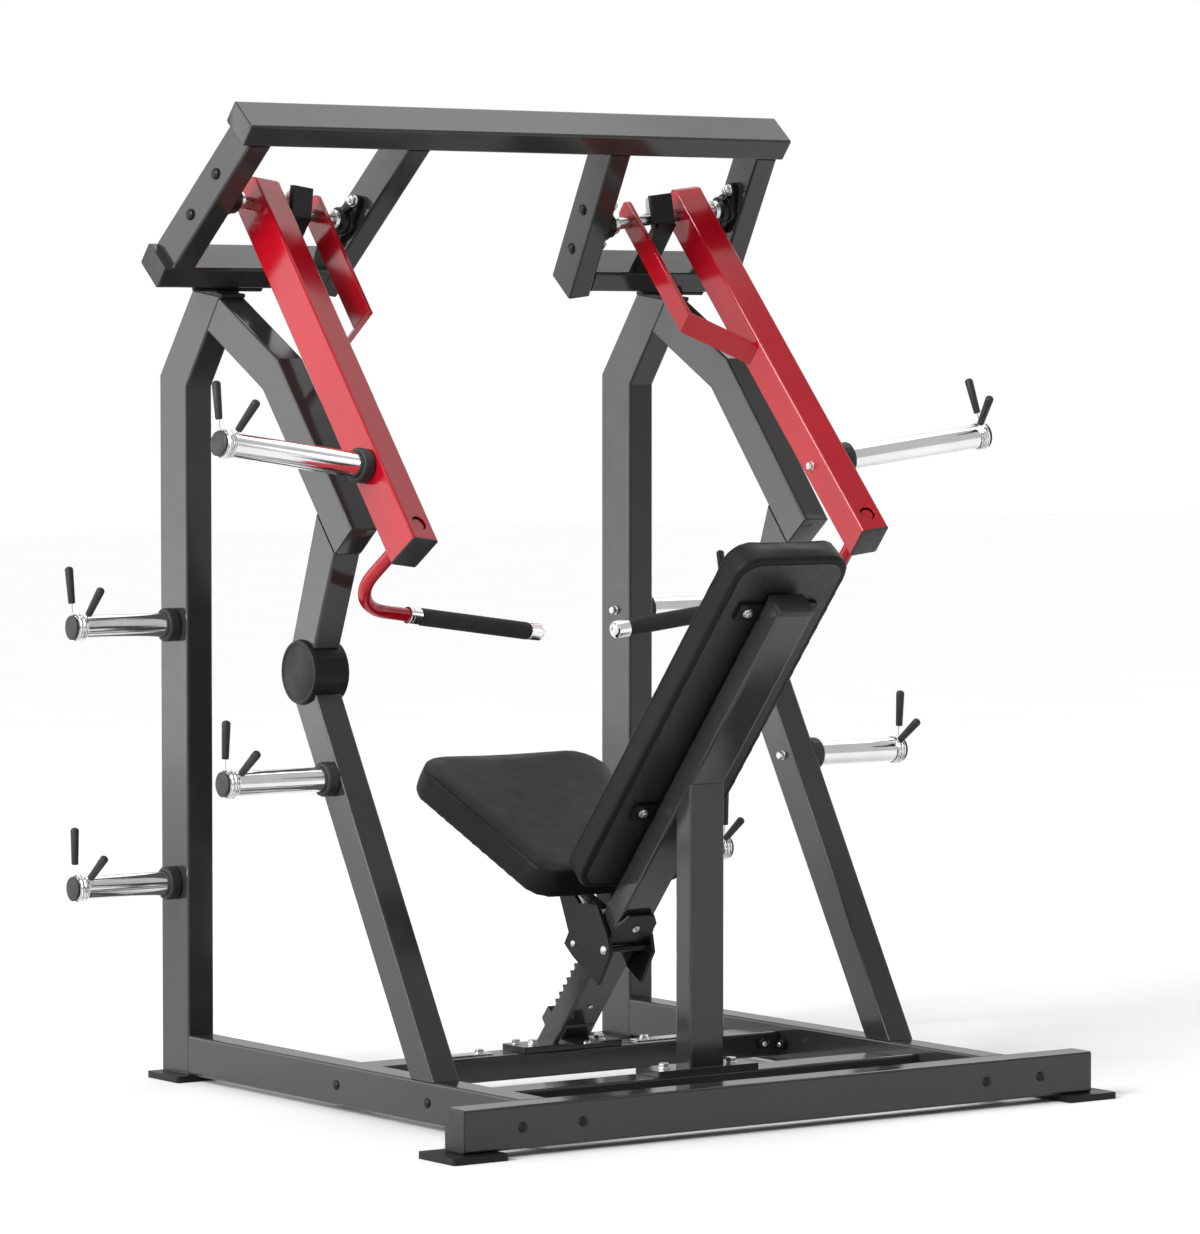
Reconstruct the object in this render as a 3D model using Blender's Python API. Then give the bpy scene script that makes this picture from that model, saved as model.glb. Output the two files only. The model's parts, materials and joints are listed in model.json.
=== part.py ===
"""Plate-loaded press machine: a welded tube frame, two converging arms and a sliding seat.

Metres, +Z up, floor at Z = 0. The user sits facing +Y, so the user's right is +X.
Lengths "along" the machine are measured from the rear face of the rear beam.
"""

from math import cos, pi, radians, sin

import bmesh
import bpy
from mathutils import Matrix, Vector

# Overall layout
MID_ALONG = 0.6541
GAP = 0.0003
WALL = 0.003
EDGE_R = 0.0045
VENT_R = 0.004

# Base
FOOT_T = 0.013
FOOT_WIDE = 0.120
REAR_FOOT = (0.720, 0.030)
FRONT_FOOT = (0.543, 1.285)
BEAM_LOW = 0.0133
BEAM_TOP = 0.093
REAR_BEAM_HALF = 0.7365
REAR_BEAM_DEPTH = 0.062
RAIL_IN = 0.513
RAIL_OUT = 0.573
RAIL_LOW = 0.014
UPRIGHT_NEAR = 1.233
UPRIGHT_FAR = 1.336
FLAT_LOW = 0.028
FLAT_TOP = 0.078
PLATE_TOP = 0.090
PLATE_WIDE = 0.238
POST_BEAM = (0.255, 0.335)
SEAT_BEAM = (0.707, 0.787)

# Legs and their disc, and the plates on top of the uprights
DISC_CENTRE = (0.804, 0.841)
DISC_X = (0.505, 0.581)
DISC_R = 0.0625
DISC_CHAMFER = 0.004
APEX_REAR = (1.105, 1.566)
APEX_FRONT = (1.210, 1.579)
APEX_X = 0.543
APEX_CAP = (0.115, 0.056, 0.007)
APEX_PLATE = (0.160, 0.006)

# Top frame: a plane tilted about X, with the posts tilted inside it
FRAME_TILT = radians(40.23)
POST_TILT = radians(10.0)
FRAME_ORIGIN = (0.9165, 1.9429)
TOP_BEAM_HALF = 0.650
TUBE_WIDE = 0.080
TUBE_THIN = 0.050
TOP_BEAM_UNDER = 0.050
CROSS_TOP = 0.354
CROSS_UNDER = 0.404
INNER_POST_X = 0.218
OUTER_POST_X = 0.5872
CROSS_TUBE_END = 0.7065
INNER_POST_LENGTH = 0.378

# Shafts and bearings
SHAFT_R = 0.0125
SHAFT_SIDES = 48
BEARING_BORE_GAP = 0.00005
SHAFT_START = (0.2571, 1.0612, 1.7098)
BAY_IN = 0.050
BAY_OUT = 0.3635
BOLT_PITCH = 0.103

# Arms, in lengths along the shaft (s), down the arm (d) and out of its top face (n)
ARM_DOWN = (0.02697, -0.65545, -0.75476)
ARM_S = (0.2355, 0.2965)
ARM_HALF_N = 0.040
ARM_END = 0.877
BRACE_S = (0.123, 0.133)
BRACE_BEND = 0.275
BRACE_FOOT = 0.378
BRACE_HALF_N = 0.0275
HORN_D = 0.672
HANDLE_S = 0.266
HANDLE_D = 0.839
HANDLE_R = 0.013
HANDLE_BEND = 0.100
HANDLE_N = -0.215
GRIP_START = 0.082
GRIP_END = -0.198
HANDLE_END = -0.233

# Seat tube frame: t up the tube, b out of its rear face
SEAT_TILT = radians(50.0)
SEAT_ORIGIN = (0.381, 0.493)
SEAT_TUBE_HALF = 0.040
SEAT_TUBE_DEPTH = 0.050
SEAT_TUBE_TOP = 0.622
CARRIAGE_X = (0.047, 0.055)
RACK_TOP = -0.270
RACK_PITCH = 0.020
RACK_TEETH = 11
LATCH_PIVOT = (-0.250, -0.0855)
LATCH_SWING = radians(14.0)
SEAT_FRONT = (0.958, 0.657)
SEAT_ANGLE = radians(30.0)
SEAT_THICK = 0.060

# Horns
HORN_SLEEVE_R = 0.024
HORN_COLLAR_R = 0.0335
HORN_COLLAR_T = 0.025
HORN_BORE_R = 0.019
UPRIGHT_HORN_ALONG = 1.2845
UPRIGHT_HORN_HEIGHTS = (0.914, 0.396)
UPRIGHT_HORN_LENGTH = 0.237
LEG_HORN = (0.700, 0.641)
LEG_HORN_LENGTH = 0.247
ARM_HORN_LENGTH = 0.357
ACCESS_R = 0.007

PAINT = ("frame_paint", (0.10, 0.10, 0.105), 0.0, 0.30)
BLACK_PAINT = ("black_paint", (0.018, 0.018, 0.020), 0.0, 0.35)
RED_PAINT = ("red_paint", (0.50, 0.010, 0.022), 0.0, 0.22)
CHROME = ("chrome", (0.80, 0.80, 0.80), 1.0, 0.12)
STEEL = ("steel", (0.55, 0.55, 0.55), 1.0, 0.30)
VINYL = ("vinyl", (0.022, 0.022, 0.023), 0.0, 0.55)
RUBBER = ("rubber", (0.016, 0.016, 0.017), 0.0, 0.75)

EX = Vector((1, 0, 0))
EY = Vector((0, 1, 0))
EZ = Vector((0, 0, 1))
EA = Vector((0, -cos(FRAME_TILT), -sin(FRAME_TILT)))
EB = Vector((0, sin(FRAME_TILT), -cos(FRAME_TILT)))
SHAFT_DIR = EX * cos(POST_TILT) - EB * sin(POST_TILT)
POST_DOWN = EX * sin(POST_TILT) + EB * cos(POST_TILT)
FRAME_TOP = Vector((0, FRAME_ORIGIN[0] - MID_ALONG, FRAME_ORIGIN[1]))
SHAFT_0 = Vector((SHAFT_START[0], SHAFT_START[1] - MID_ALONG, SHAFT_START[2]))
PIVOT = SHAFT_0 + SHAFT_DIR * 0.2
TUBE_UP = Vector((0, -cos(SEAT_TILT), sin(SEAT_TILT)))
TUBE_REAR = Vector((0, -sin(SEAT_TILT), -cos(SEAT_TILT)))
SEAT_0 = Vector((0, SEAT_ORIGIN[0] - MID_ALONG, SEAT_ORIGIN[1]))
SEAT_BACKWARD = Vector((0, -cos(SEAT_ANGLE), -sin(SEAT_ANGLE)))
SEAT_UP = Vector((0, -sin(SEAT_ANGLE), cos(SEAT_ANGLE)))


def arm_axes():
    """Directions along the shaft, down the arm and out of the arm's top face."""
    down = Vector(ARM_DOWN)
    down = (down - SHAFT_DIR * down.dot(SHAFT_DIR)).normalized()
    top = SHAFT_DIR.cross(down).normalized()
    if top.z < 0:
        top.negate()
    return SHAFT_DIR, down, top


ARM_S_DIR, ARM_D_DIR, ARM_N_DIR = arm_axes()


def arm_point(s, d, n):
    return SHAFT_0 + ARM_S_DIR * s + ARM_D_DIR * d + ARM_N_DIR * n


def seat_point(x, t, b):
    return SEAT_0 + EX * x + TUBE_UP * t + TUBE_REAR * b


def frame_point(x, a, b):
    return FRAME_TOP + EX * x + EA * a + EB * b


def side_point(x, along, z):
    return Vector((x, along - MID_ALONG, z))


def material(spec):
    """One Principled material for each piece that asks for it."""
    name, colour, metallic, roughness = spec
    made = bpy.data.materials.new(name)
    made.use_nodes = True
    shader = made.node_tree.nodes["Principled BSDF"]
    shader.inputs["Base Color"].default_value = (*colour, 1)
    shader.inputs["Metallic"].default_value = metallic
    shader.inputs["Roughness"].default_value = roughness
    made.diffuse_color = (*colour, 1)
    return made


def finish(name, bm, spec, origin=None, smooth=False):
    """Turns a bmesh in world coordinates into an object whose origin is at the given point."""
    origin = origin or Vector()
    bmesh.ops.recalc_face_normals(bm, faces=bm.faces)
    bmesh.ops.translate(bm, verts=bm.verts, vec=-origin)
    mesh = bpy.data.meshes.new(name)
    bm.to_mesh(mesh)
    bm.free()
    made = bpy.data.objects.new(name, mesh)
    bpy.context.scene.collection.objects.link(made)
    made.location = origin
    mesh.materials.append(material(spec))
    if smooth:
        mesh.shade_smooth()
        mesh.set_sharp_from_angle(angle=radians(40))
    return made


def combine(target, others, operation):
    """Applies an exact Boolean with each other object in turn, and removes those objects."""
    kept = target.data.materials[0]
    for other in others:
        step = target.modifiers.new("step", "BOOLEAN")
        step.operation = operation
        step.solver = "EXACT"
        step.object = other
        graph = bpy.context.evaluated_depsgraph_get()
        result = bpy.data.meshes.new_from_object(target.evaluated_get(graph))
        target.modifiers.clear()
        target.data = result
        bpy.data.objects.remove(other)
    target.data.materials.clear()
    target.data.materials.append(kept)
    for face in target.data.polygons:
        face.material_index = 0
    target.data.name = target.name
    return target


def cut(target, *cutters):
    return combine(target, cutters, "DIFFERENCE")


def join(target, *pieces):
    return combine(target, pieces, "UNION")


def mirrored(source, name):
    """A copy of the object on the other side of the machine."""
    made = source.copy()
    made.data = source.data.copy()
    made.name = name
    made.data.name = name
    bpy.context.scene.collection.objects.link(made)
    made.data.transform(Matrix.Diagonal((-1, 1, 1, 1)))
    made.data.flip_normals()
    made.location.x = -made.location.x
    copied = made.data.materials[0].copy()
    made.data.materials[0] = copied
    return made


def both_sides(right):
    """Names the object for the right side and makes its left twin."""
    base = right.name
    right.name = "right_" + base
    return right, mirrored(right, "left_" + base)


def rounded_rectangle(wide, deep, radius, steps=3):
    """Outline points of a rectangle centred on zero."""
    points = []
    for corner, (side_u, side_v) in enumerate(((1, 1), (-1, 1), (-1, -1), (1, -1))):
        centre_u = side_u * (wide / 2 - radius)
        centre_v = side_v * (deep / 2 - radius)
        for step in range(steps + 1):
            angle = (corner + step / steps) * pi / 2
            points.append((centre_u + radius * cos(angle), centre_v + radius * sin(angle)))
    return points


def circle(radius, sides):
    return [(radius * cos(2 * pi * i / sides), radius * sin(2 * pi * i / sides)) for i in range(sides)]


def add_ring(bm, station, outline):
    """Adds the outline at a station, which is an origin and the two vectors that u and v follow."""
    origin, along_u, along_v = station
    return [bm.verts.new(origin + along_u * u + along_v * v) for u, v in outline]


def bridge(bm, first, second):
    count = len(first)
    for i in range(count):
        j = (i + 1) % count
        bm.faces.new((first[i], first[j], second[j], second[i]))


def loft(name, stations, outlines, spec, **more):
    """A solid skinned over outlines at successive stations, with flat ends."""
    bm = bmesh.new()
    rings = [add_ring(bm, station, outline) for station, outline in zip(stations, outlines)]
    for first, second in zip(rings, rings[1:]):
        bridge(bm, first, second)
    bm.faces.new(rings[0])
    bm.faces.new(rings[-1])
    return finish(name, bm, spec, **more)


def moved(station, direction, distance):
    return (station[0] + direction * distance, station[1], station[2])


def tube(name, stations, wide, deep, spec, ends=("vent", "vent"), wall=WALL, radius=EDGE_R, **more):
    """A rectangular tube over mitred stations. Each end is open, closed, or closed with a small vent hole."""
    outer = rounded_rectangle(wide, deep, radius)
    inner = rounded_rectangle(wide - 2 * wall, deep - 2 * wall, radius - wall)
    small = circle(VENT_R, len(outer))
    small = small[1:] + small[:1]
    bm = bmesh.new()
    outer_rings = [add_ring(bm, station, outer) for station in stations]
    for first, second in zip(outer_rings, outer_rings[1:]):
        bridge(bm, first, second)
    inner_rings = []
    for index, station in enumerate(stations):
        last = index == len(stations) - 1
        if index > 0 and not last:
            inner_rings.append(add_ring(bm, station, inner))
            continue
        end = ends[1] if last else ends[0]
        neighbour = stations[-2] if last else stations[1]
        inward = (neighbour[0] - station[0]).normalized()
        set_in = moved(station, inward, 0 if end == "open" else wall)
        block = [add_ring(bm, set_in, inner)]
        if end == "vent":
            block += [add_ring(bm, set_in, small), add_ring(bm, station, small)]
        inner_rings += block if last else block[::-1]
        outer_ring = outer_rings[index]
        if end == "closed":
            bm.faces.new(outer_ring)
            bm.faces.new(block[0])
        else:
            bridge(bm, outer_ring, block[-1])
    for first, second in zip(inner_rings, inner_rings[1:]):
        bridge(bm, first, second)
    return finish(name, bm, spec, **more)


def edge_station(x, near, far, deep):
    """A station parallel to X through two points given as (along, height)."""
    first = side_point(x, *near)
    second = side_point(x, *far)
    return ((first + second) / 2, EX, (second - first) / deep)


def side_tube(name, x, wide, deep, edges, spec=PAINT, **more):
    """A tube whose near and far edges are given by (along, height) pairs at each cut or bend."""
    stations = [edge_station(x, near, far, deep) for near, far in edges]
    return tube(name, stations, wide, deep, spec, **more)


def prism(name, outline, base, along_u, along_v, along_w, span, spec, **more):
    """An outline in the u, v plane extruded along w between the two distances of span."""
    stations = [(base + along_w * w, along_u, along_v) for w in span]
    return loft(name, stations, [outline, outline], spec, **more)


def rod(name, start, end, radius, spec, sides=24, **more):
    """A round bar between two points."""
    axis = (end - start).normalized()
    side = axis.orthogonal().normalized()
    stations = [(start, side, axis.cross(side)), (end, side, axis.cross(side))]
    outline = circle(radius, sides)
    return loft(name, stations, [outline, outline], spec, **more)


def turned(name, base, axis, profile, spec, sides=32, hollow_r=None, hollow_depth=0.0, **more):
    """A turned piece: profile holds (distance along the axis, radius). A hollow opens at the start."""
    side = axis.orthogonal().normalized()
    across = axis.cross(side)
    bm = bmesh.new()
    rings = [add_ring(bm, (base + axis * at, side, across), circle(r, sides)) for at, r in profile]
    for first, second in zip(rings, rings[1:]):
        bridge(bm, first, second)
    bm.faces.new(rings[-1])
    if hollow_r:
        mouth = add_ring(bm, (base, side, across), circle(hollow_r, sides))
        floor = add_ring(bm, (base + axis * hollow_depth, side, across), circle(hollow_r, sides))
        bridge(bm, rings[0], mouth)
        bridge(bm, mouth, floor)
        bm.faces.new(floor)
    else:
        bm.faces.new(rings[0])
    return finish(name, bm, spec, smooth=True, **more)


def sleeve(name, base, axis, outer, inner_r, spec, sides=32, **more):
    """A turned piece with a bore right through: outer holds (distance, radius)."""
    side = axis.orthogonal().normalized()
    across = axis.cross(side)
    bm = bmesh.new()
    rings = [add_ring(bm, (base + axis * at, side, across), circle(r, sides)) for at, r in outer]
    bore = [
        add_ring(bm, (base + axis * at, side, across), circle(inner_r, sides))
        for at in (outer[-1][0], outer[0][0])
    ]
    loop = rings + bore
    for first, second in zip(loop, loop[1:] + loop[:1]):
        bridge(bm, first, second)
    return finish(name, bm, spec, smooth=True, **more)


def swept(name, points, radii, bend_axis, spec, sides=20, **more):
    """A round bar through points in one plane; bend_axis is normal to that plane."""
    stations = []
    for index, point in enumerate(points):
        before = points[max(index - 1, 0)]
        after = points[min(index + 1, len(points) - 1)]
        heading = (after - before).normalized()
        stations.append((point, bend_axis, heading.cross(bend_axis).normalized()))
    outlines = [circle(r, sides) for r in radii]
    return loft(name, stations, outlines, spec, smooth=True, **more)


def base_beams():
    """The rear beam, the two side rails and the two beams that lie flat between them."""
    for name, half, near, far, low, top in (
        ("rear_cross_beam", REAR_BEAM_HALF, 0, REAR_BEAM_DEPTH, BEAM_LOW, BEAM_TOP),
        ("post_cross_beam", RAIL_IN - GAP, *POST_BEAM, FLAT_LOW, FLAT_TOP),
        ("seat_cross_beam", RAIL_IN - GAP, *SEAT_BEAM, FLAT_LOW, FLAT_TOP),
    ):
        centre = ((near + far) / 2, (low + top) / 2)
        stations = [(side_point(x, *centre), EY, EZ) for x in (-half, half)]
        tube(name, stations, far - near, top - low, PAINT)
    middle = (RAIL_IN + RAIL_OUT) / 2
    rail = side_tube(
        "side_rail",
        middle,
        RAIL_OUT - RAIL_IN,
        BEAM_TOP - RAIL_LOW,
        [
            ((REAR_BEAM_DEPTH + GAP, BEAM_TOP), (REAR_BEAM_DEPTH + GAP, RAIL_LOW)),
            ((UPRIGHT_NEAR - GAP, BEAM_TOP), (UPRIGHT_NEAR - GAP, RAIL_LOW)),
        ],
    )
    both_sides(rail)


def feet():
    """Square plates under the rear beam's ends and under the uprights."""
    outline = rounded_rectangle(FOOT_WIDE, FOOT_WIDE, 0.006)
    for name, place in (("rear_foot", REAR_FOOT), ("front_foot", FRONT_FOOT)):
        centre = side_point(*place, 0)
        both_sides(prism(name, outline, centre, EX, EY, EZ, (0, FOOT_T), BLACK_PAINT))


def upright():
    """The tall front tube, bent back near its top, with two horns on its outer face."""
    middle = (RAIL_IN + RAIL_OUT) / 2
    made = side_tube(
        "upright",
        middle,
        RAIL_OUT - RAIL_IN,
        UPRIGHT_FAR - UPRIGHT_NEAR,
        [
            ((UPRIGHT_NEAR, BEAM_LOW), (UPRIGHT_FAR, BEAM_LOW)),
            ((UPRIGHT_NEAR, 1.391), (UPRIGHT_FAR, 1.412)),
            (APEX_REAR, APEX_FRONT),
        ],
    )
    for height in UPRIGHT_HORN_HEIGHTS:
        drill(made, side_point(RAIL_IN, UPRIGHT_HORN_ALONG, height), EX)
    both_sides(made)


def drill(target, point, axis):
    """An access hole through the wall that the point lies on."""
    cut(target, rod("drill", point - axis * 0.002, point + axis * 0.006, ACCESS_R, PAINT, sides=16))


def legs():
    """The bent leg behind each upright: upper, middle and lower tubes meeting at a round disc."""
    middle = (RAIL_IN + RAIL_OUT) / 2
    wide = RAIL_OUT - RAIL_IN
    upper = side_tube(
        "leg_upper",
        middle,
        wide,
        TUBE_WIDE,
        [
            ((1.1056, 1.5645), (1.1517, 1.4996)),
            ((0.894, 1.446), (0.948, 1.385)),
            ((0.627, 1.123), (0.688, 1.072)),
        ],
    )
    both_sides(upper)
    disc_from = side_point(DISC_X[0], *DISC_CENTRE)
    disc_to = side_point(DISC_X[1], *DISC_CENTRE)
    thick = DISC_X[1] - DISC_X[0]
    rim_r = DISC_R - DISC_CHAMFER
    profile = [(0, rim_r), (DISC_CHAMFER, DISC_R), (thick - DISC_CHAMFER, DISC_R), (thick, rim_r)]
    both_sides(turned("pivot_disc", disc_from, EX, profile, BLACK_PAINT, sides=40))
    foot = [(0.348, BEAM_TOP + GAP), (0.428, BEAM_TOP + GAP)]
    for name, edges in (
        ("leg_middle", [((0.6888, 1.0713), (0.7527, 1.1482)), ((0.771, 0.866), (0.857, 0.853))]),
        ("leg_lower", [foot, ((0.780, 0.842), (0.859, 0.829))]),
    ):
        leg = side_tube(name, middle, wide, TUBE_WIDE, edges, ends=("vent", "open"))
        beyond = EX * 0.02
        cut(leg, rod("cutter", disc_from - beyond, disc_to + beyond, DISC_R + 0.0007, PAINT, sides=40))
        if name == "leg_lower":
            drill(leg, side_point(RAIL_IN, *LEG_HORN), EX)
        both_sides(leg)


def apex_plates():
    """The cap on each upright's cut top and the plate under the lower cross tube, with a wedge between."""
    rear = side_point(0, *APEX_REAR)
    front = side_point(0, *APEX_FRONT)
    slope_u = (front - rear).normalized()
    slope_w = EX.cross(slope_u)
    start = rear + slope_w * GAP
    long, wide, thick = APEX_CAP
    centre = start + (front - rear) / 2 + EX * APEX_X
    cap_outline = rounded_rectangle(long, wide, 0.004)
    cap = prism("apex_plate", cap_outline, centre, slope_u, EX, slope_w, (0, thick), BLACK_PAINT)
    under = frame_point(APEX_X, TUBE_WIDE / 2, CROSS_UNDER + GAP)
    outline = rounded_rectangle(TUBE_WIDE, APEX_PLATE[0], 0.006)
    plate = prism("under_plate", outline, under, EA, EX, EB, (0, APEX_PLATE[1]), BLACK_PAINT)
    low = frame_point(0, TUBE_WIDE - 0.004, CROSS_UNDER + 0.003)
    high = frame_point(0, 0.004, CROSS_UNDER + 0.003)
    base_z = (start + slope_w * thick / 2).z
    corners = [low, high, Vector((0, high.y + 0.004, base_z + 0.008)), Vector((0, low.y, base_z + 0.0005))]
    sides = [(p.y, p.z) for p in corners]
    half = wide / 2 - 0.003
    wedge = prism("wedge", sides, Vector(), EY, EZ, EX, (APEX_X - half, APEX_X + half), BLACK_PAINT)
    both_sides(join(cap, plate, wedge))


def top_frame():
    """Top beam, tilted inner and outer posts, and a lower cross tube on each side."""
    stations = [
        (frame_point(x, TUBE_WIDE / 2, TUBE_THIN / 2), EA, EB) for x in (-TOP_BEAM_HALF, TOP_BEAM_HALF)
    ]
    tube("top_beam", stations, TUBE_WIDE, TUBE_THIN, PAINT)
    lean = sin(POST_TILT) / cos(POST_TILT)
    level = EX / cos(POST_TILT)
    wide_x = TUBE_THIN / cos(POST_TILT)
    top = TOP_BEAM_UNDER + GAP
    outer_top = frame_point(OUTER_POST_X + wide_x / 2, TUBE_WIDE / 2, top)
    outer_low = outer_top + (EB + EX * lean) * (CROSS_TOP - GAP - top)
    outer = tube("outer_post", [(outer_top, level, EA), (outer_low, level, EA)], TUBE_THIN, TUBE_WIDE, PAINT)
    both_sides(outer)
    inner_top = frame_point(INNER_POST_X + wide_x / 2, TUBE_WIDE / 2, top)
    face_top = frame_point(INNER_POST_X, TUBE_WIDE / 2, top)
    inner_low = face_top + POST_DOWN * INNER_POST_LENGTH + SHAFT_DIR * TUBE_THIN / 2
    inner = tube(
        "inner_post", [(inner_top, level, EA), (inner_low, SHAFT_DIR, EA)], TUBE_THIN, TUBE_WIDE, PAINT
    )
    both_sides(inner)
    middle_b = (CROSS_TOP + CROSS_UNDER) / 2
    inner_x = INNER_POST_X + wide_x + lean * (middle_b - TOP_BEAM_UNDER) + GAP
    cross = tube(
        "lower_cross_tube",
        [
            (frame_point(inner_x, TUBE_WIDE / 2, middle_b), EA, EB + EX * lean),
            (frame_point(CROSS_TUBE_END, TUBE_WIDE / 2, middle_b), EA, EB),
        ],
        TUBE_WIDE,
        TUBE_THIN,
        PAINT,
    )
    both_sides(cross)


def flange_outline():
    """A two-bolt flange: a round boss in the middle and a rounded ear at each bolt."""
    ear_r = 0.0135
    boss_r = 0.030
    outline = []
    for side in (1, -1):
        for step in range(7):
            angle = (step / 6 - 0.5) * radians(112)
            outline.append((side * (BOLT_PITCH / 2 + ear_r * cos(angle)), side * ear_r * sin(angle)))
        for step in range(7):
            angle = pi / 2 + (step / 6 - 0.5) * radians(81)
            outline.append((side * boss_r * cos(angle), side * boss_r * sin(angle)))
    return outline


def flange_bearings():
    """Two-bolt flange bearings on the facing sides of the posts, their bores just clear of the shaft."""
    bore = (SHAFT_R + BEARING_BORE_GAP) / cos(pi / SHAFT_SIDES)
    for name, at, facing in (("inner_bearing", BAY_IN + GAP, 1), ("outer_bearing", BAY_OUT - GAP, -1)):
        axis = SHAFT_DIR * facing
        face = SHAFT_0 + SHAFT_DIR * at
        outline = flange_outline()
        body = prism(name, outline, face, POST_DOWN, EA, axis, (0, 0.012), BLACK_PAINT)
        hub_profile = [(0, 0.0275), (0.024, 0.0265), (0.027, 0.024)]
        join(body, turned("hub", face + axis * 0.003, axis, hub_profile, BLACK_PAINT))
        side = SHAFT_DIR.orthogonal().normalized()
        across = SHAFT_DIR.cross(side)
        hole = circle(bore, SHAFT_SIDES)
        ends = [(face + axis * w, side, across) for w in (-0.01, 0.04)]
        cut(body, loft("bore", ends, [hole, hole], BLACK_PAINT))
        both_sides(body)


def stop_posts():
    """A leaning post on each lower cross tube, with a rubber block behind the shaft's lug."""
    foot = [(0.056, CROSS_TOP - 0.0005), (0.078, CROSS_TOP - 0.0005), (0.076, 0.225), (0.060, 0.235)]
    post = prism("stop_post", foot, FRAME_TOP, EA, EB, EX, (0.423, 0.467), BLACK_PAINT)
    block = [
        (0.0292, -0.0549),
        (0.0625, -0.0200),
        (0.0740, -0.0040),
        (0.0600, 0.0040),
        (0.0530, -0.0125),
        (0.0200, -0.0469),
    ]
    axis_point = SHAFT_0 - EA * TUBE_WIDE / 2
    rubber = prism("block", block, axis_point, EA, POST_DOWN, SHAFT_DIR, (0.165, 0.214), RUBBER)
    both_sides(join(post, rubber))


def shaft():
    """The arm's shaft between the two bearings, with the stop lug that meets the rubber block."""
    side = SHAFT_DIR.orthogonal().normalized()
    across = SHAFT_DIR.cross(side)
    ends = [(SHAFT_0 + SHAFT_DIR * s, side, across) for s in (BAY_IN + 0.002, BAY_OUT - 0.002)]
    round_bar = circle(SHAFT_R, SHAFT_SIDES)
    made = loft("shaft", ends, [round_bar, round_bar], STEEL, smooth=True, origin=PIVOT)
    axis_point = SHAFT_0 - EA * TUBE_WIDE / 2
    lug = [(0.0225, -0.0437), (0.0440, -0.0215), (0.0480, -0.002), (0.030, -0.002), (0.0125, -0.034)]
    piece = prism("lug", lug, axis_point, EA, POST_DOWN, SHAFT_DIR, (0.167, 0.212), STEEL)
    join(made, piece)
    return both_sides(made)


def arm():
    """The red arm tube: open at its lower end, chamfered round the shaft at its upper end."""
    mid_s = (ARM_S[0] + ARM_S[1]) / 2
    wide = ARM_S[1] - ARM_S[0]
    stations = []
    for d, low_n, high_n in (
        (-0.045, -0.001, 0.030),
        (-0.038, -0.008, 0.037),
        (-0.0325, -0.0135, ARM_HALF_N),
        (-0.009, -ARM_HALF_N, ARM_HALF_N),
        (ARM_END, -ARM_HALF_N, ARM_HALF_N),
    ):
        centre = arm_point(mid_s, d, (low_n + high_n) / 2)
        stations.append((centre, ARM_S_DIR, ARM_N_DIR * ((high_n - low_n) / (2 * ARM_HALF_N))))
    made = tube("arm_tube", stations, wide, 2 * ARM_HALF_N, RED_PAINT, ends=("closed", "open"), origin=PIVOT)
    hole_r = (SHAFT_R + GAP) / cos(pi / SHAFT_SIDES)
    middle = arm_point(HANDLE_S, HANDLE_D, 0)
    top = arm_point(HANDLE_S, HANDLE_D, 0.06)
    under = arm_point(HANDLE_S, HANDLE_D, -0.06)
    inner = arm_point(0.220, HORN_D, -0.005)
    for name, start, end, radius, sides in (
        ("shaft_bore", arm_point(0.20, 0, 0), arm_point(0.33, 0, 0), hole_r, SHAFT_SIDES),
        ("bar_hole", under, middle, HANDLE_R + 0.0006, 32),
        ("top_hole", middle, top, 0.016, 32),
        ("access", inner, inner + ARM_S_DIR * 0.025, ACCESS_R, 16),
    ):
        cut(made, rod(name, start, end, radius, RED_PAINT, sides=sides))
    return both_sides(made)


def brace():
    """The flat bar from the shaft to the arm, bent towards the arm at its lower end."""
    mid_s = (BRACE_S[0] + BRACE_S[1]) / 2
    thick = BRACE_S[1] - BRACE_S[0]
    slope = Vector((ARM_S[0] - 0.001 - mid_s, BRACE_FOOT - BRACE_BEND)).normalized()
    mitre = Vector((1, -(1 - slope.y) / slope.x))
    face_run = thick / slope.x
    stations = []
    for d, half_n in ((-0.040, 0.016), (-0.034, 0.0245), (-0.028, BRACE_HALF_N)):
        stations.append((arm_point(mid_s, d, 0), ARM_S_DIR, ARM_N_DIR * (half_n / BRACE_HALF_N)))
    bend_u = ARM_S_DIR + ARM_D_DIR * mitre.y
    stations.append((arm_point(mid_s, BRACE_BEND, 0), bend_u, ARM_N_DIR))
    end_u = ARM_D_DIR * (-face_run / thick)
    end_s = ARM_S[0] - GAP
    end_d = BRACE_BEND + (end_s - mid_s) * slope.y / slope.x
    stations.append((arm_point(end_s, end_d, 0), end_u, ARM_N_DIR))
    outline = rounded_rectangle(thick, 2 * BRACE_HALF_N, 0.001, steps=1)
    made = loft("arm_brace", stations, [outline] * len(stations), RED_PAINT, origin=PIVOT)
    hole_r = (SHAFT_R + GAP) / cos(pi / SHAFT_SIDES)
    ends = (arm_point(BRACE_S[0] - 0.015, 0, 0), arm_point(BRACE_S[1] + 0.015, 0, 0))
    cut(made, rod("bore", *ends, hole_r, RED_PAINT, sides=SHAFT_SIDES))
    return both_sides(made)


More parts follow.
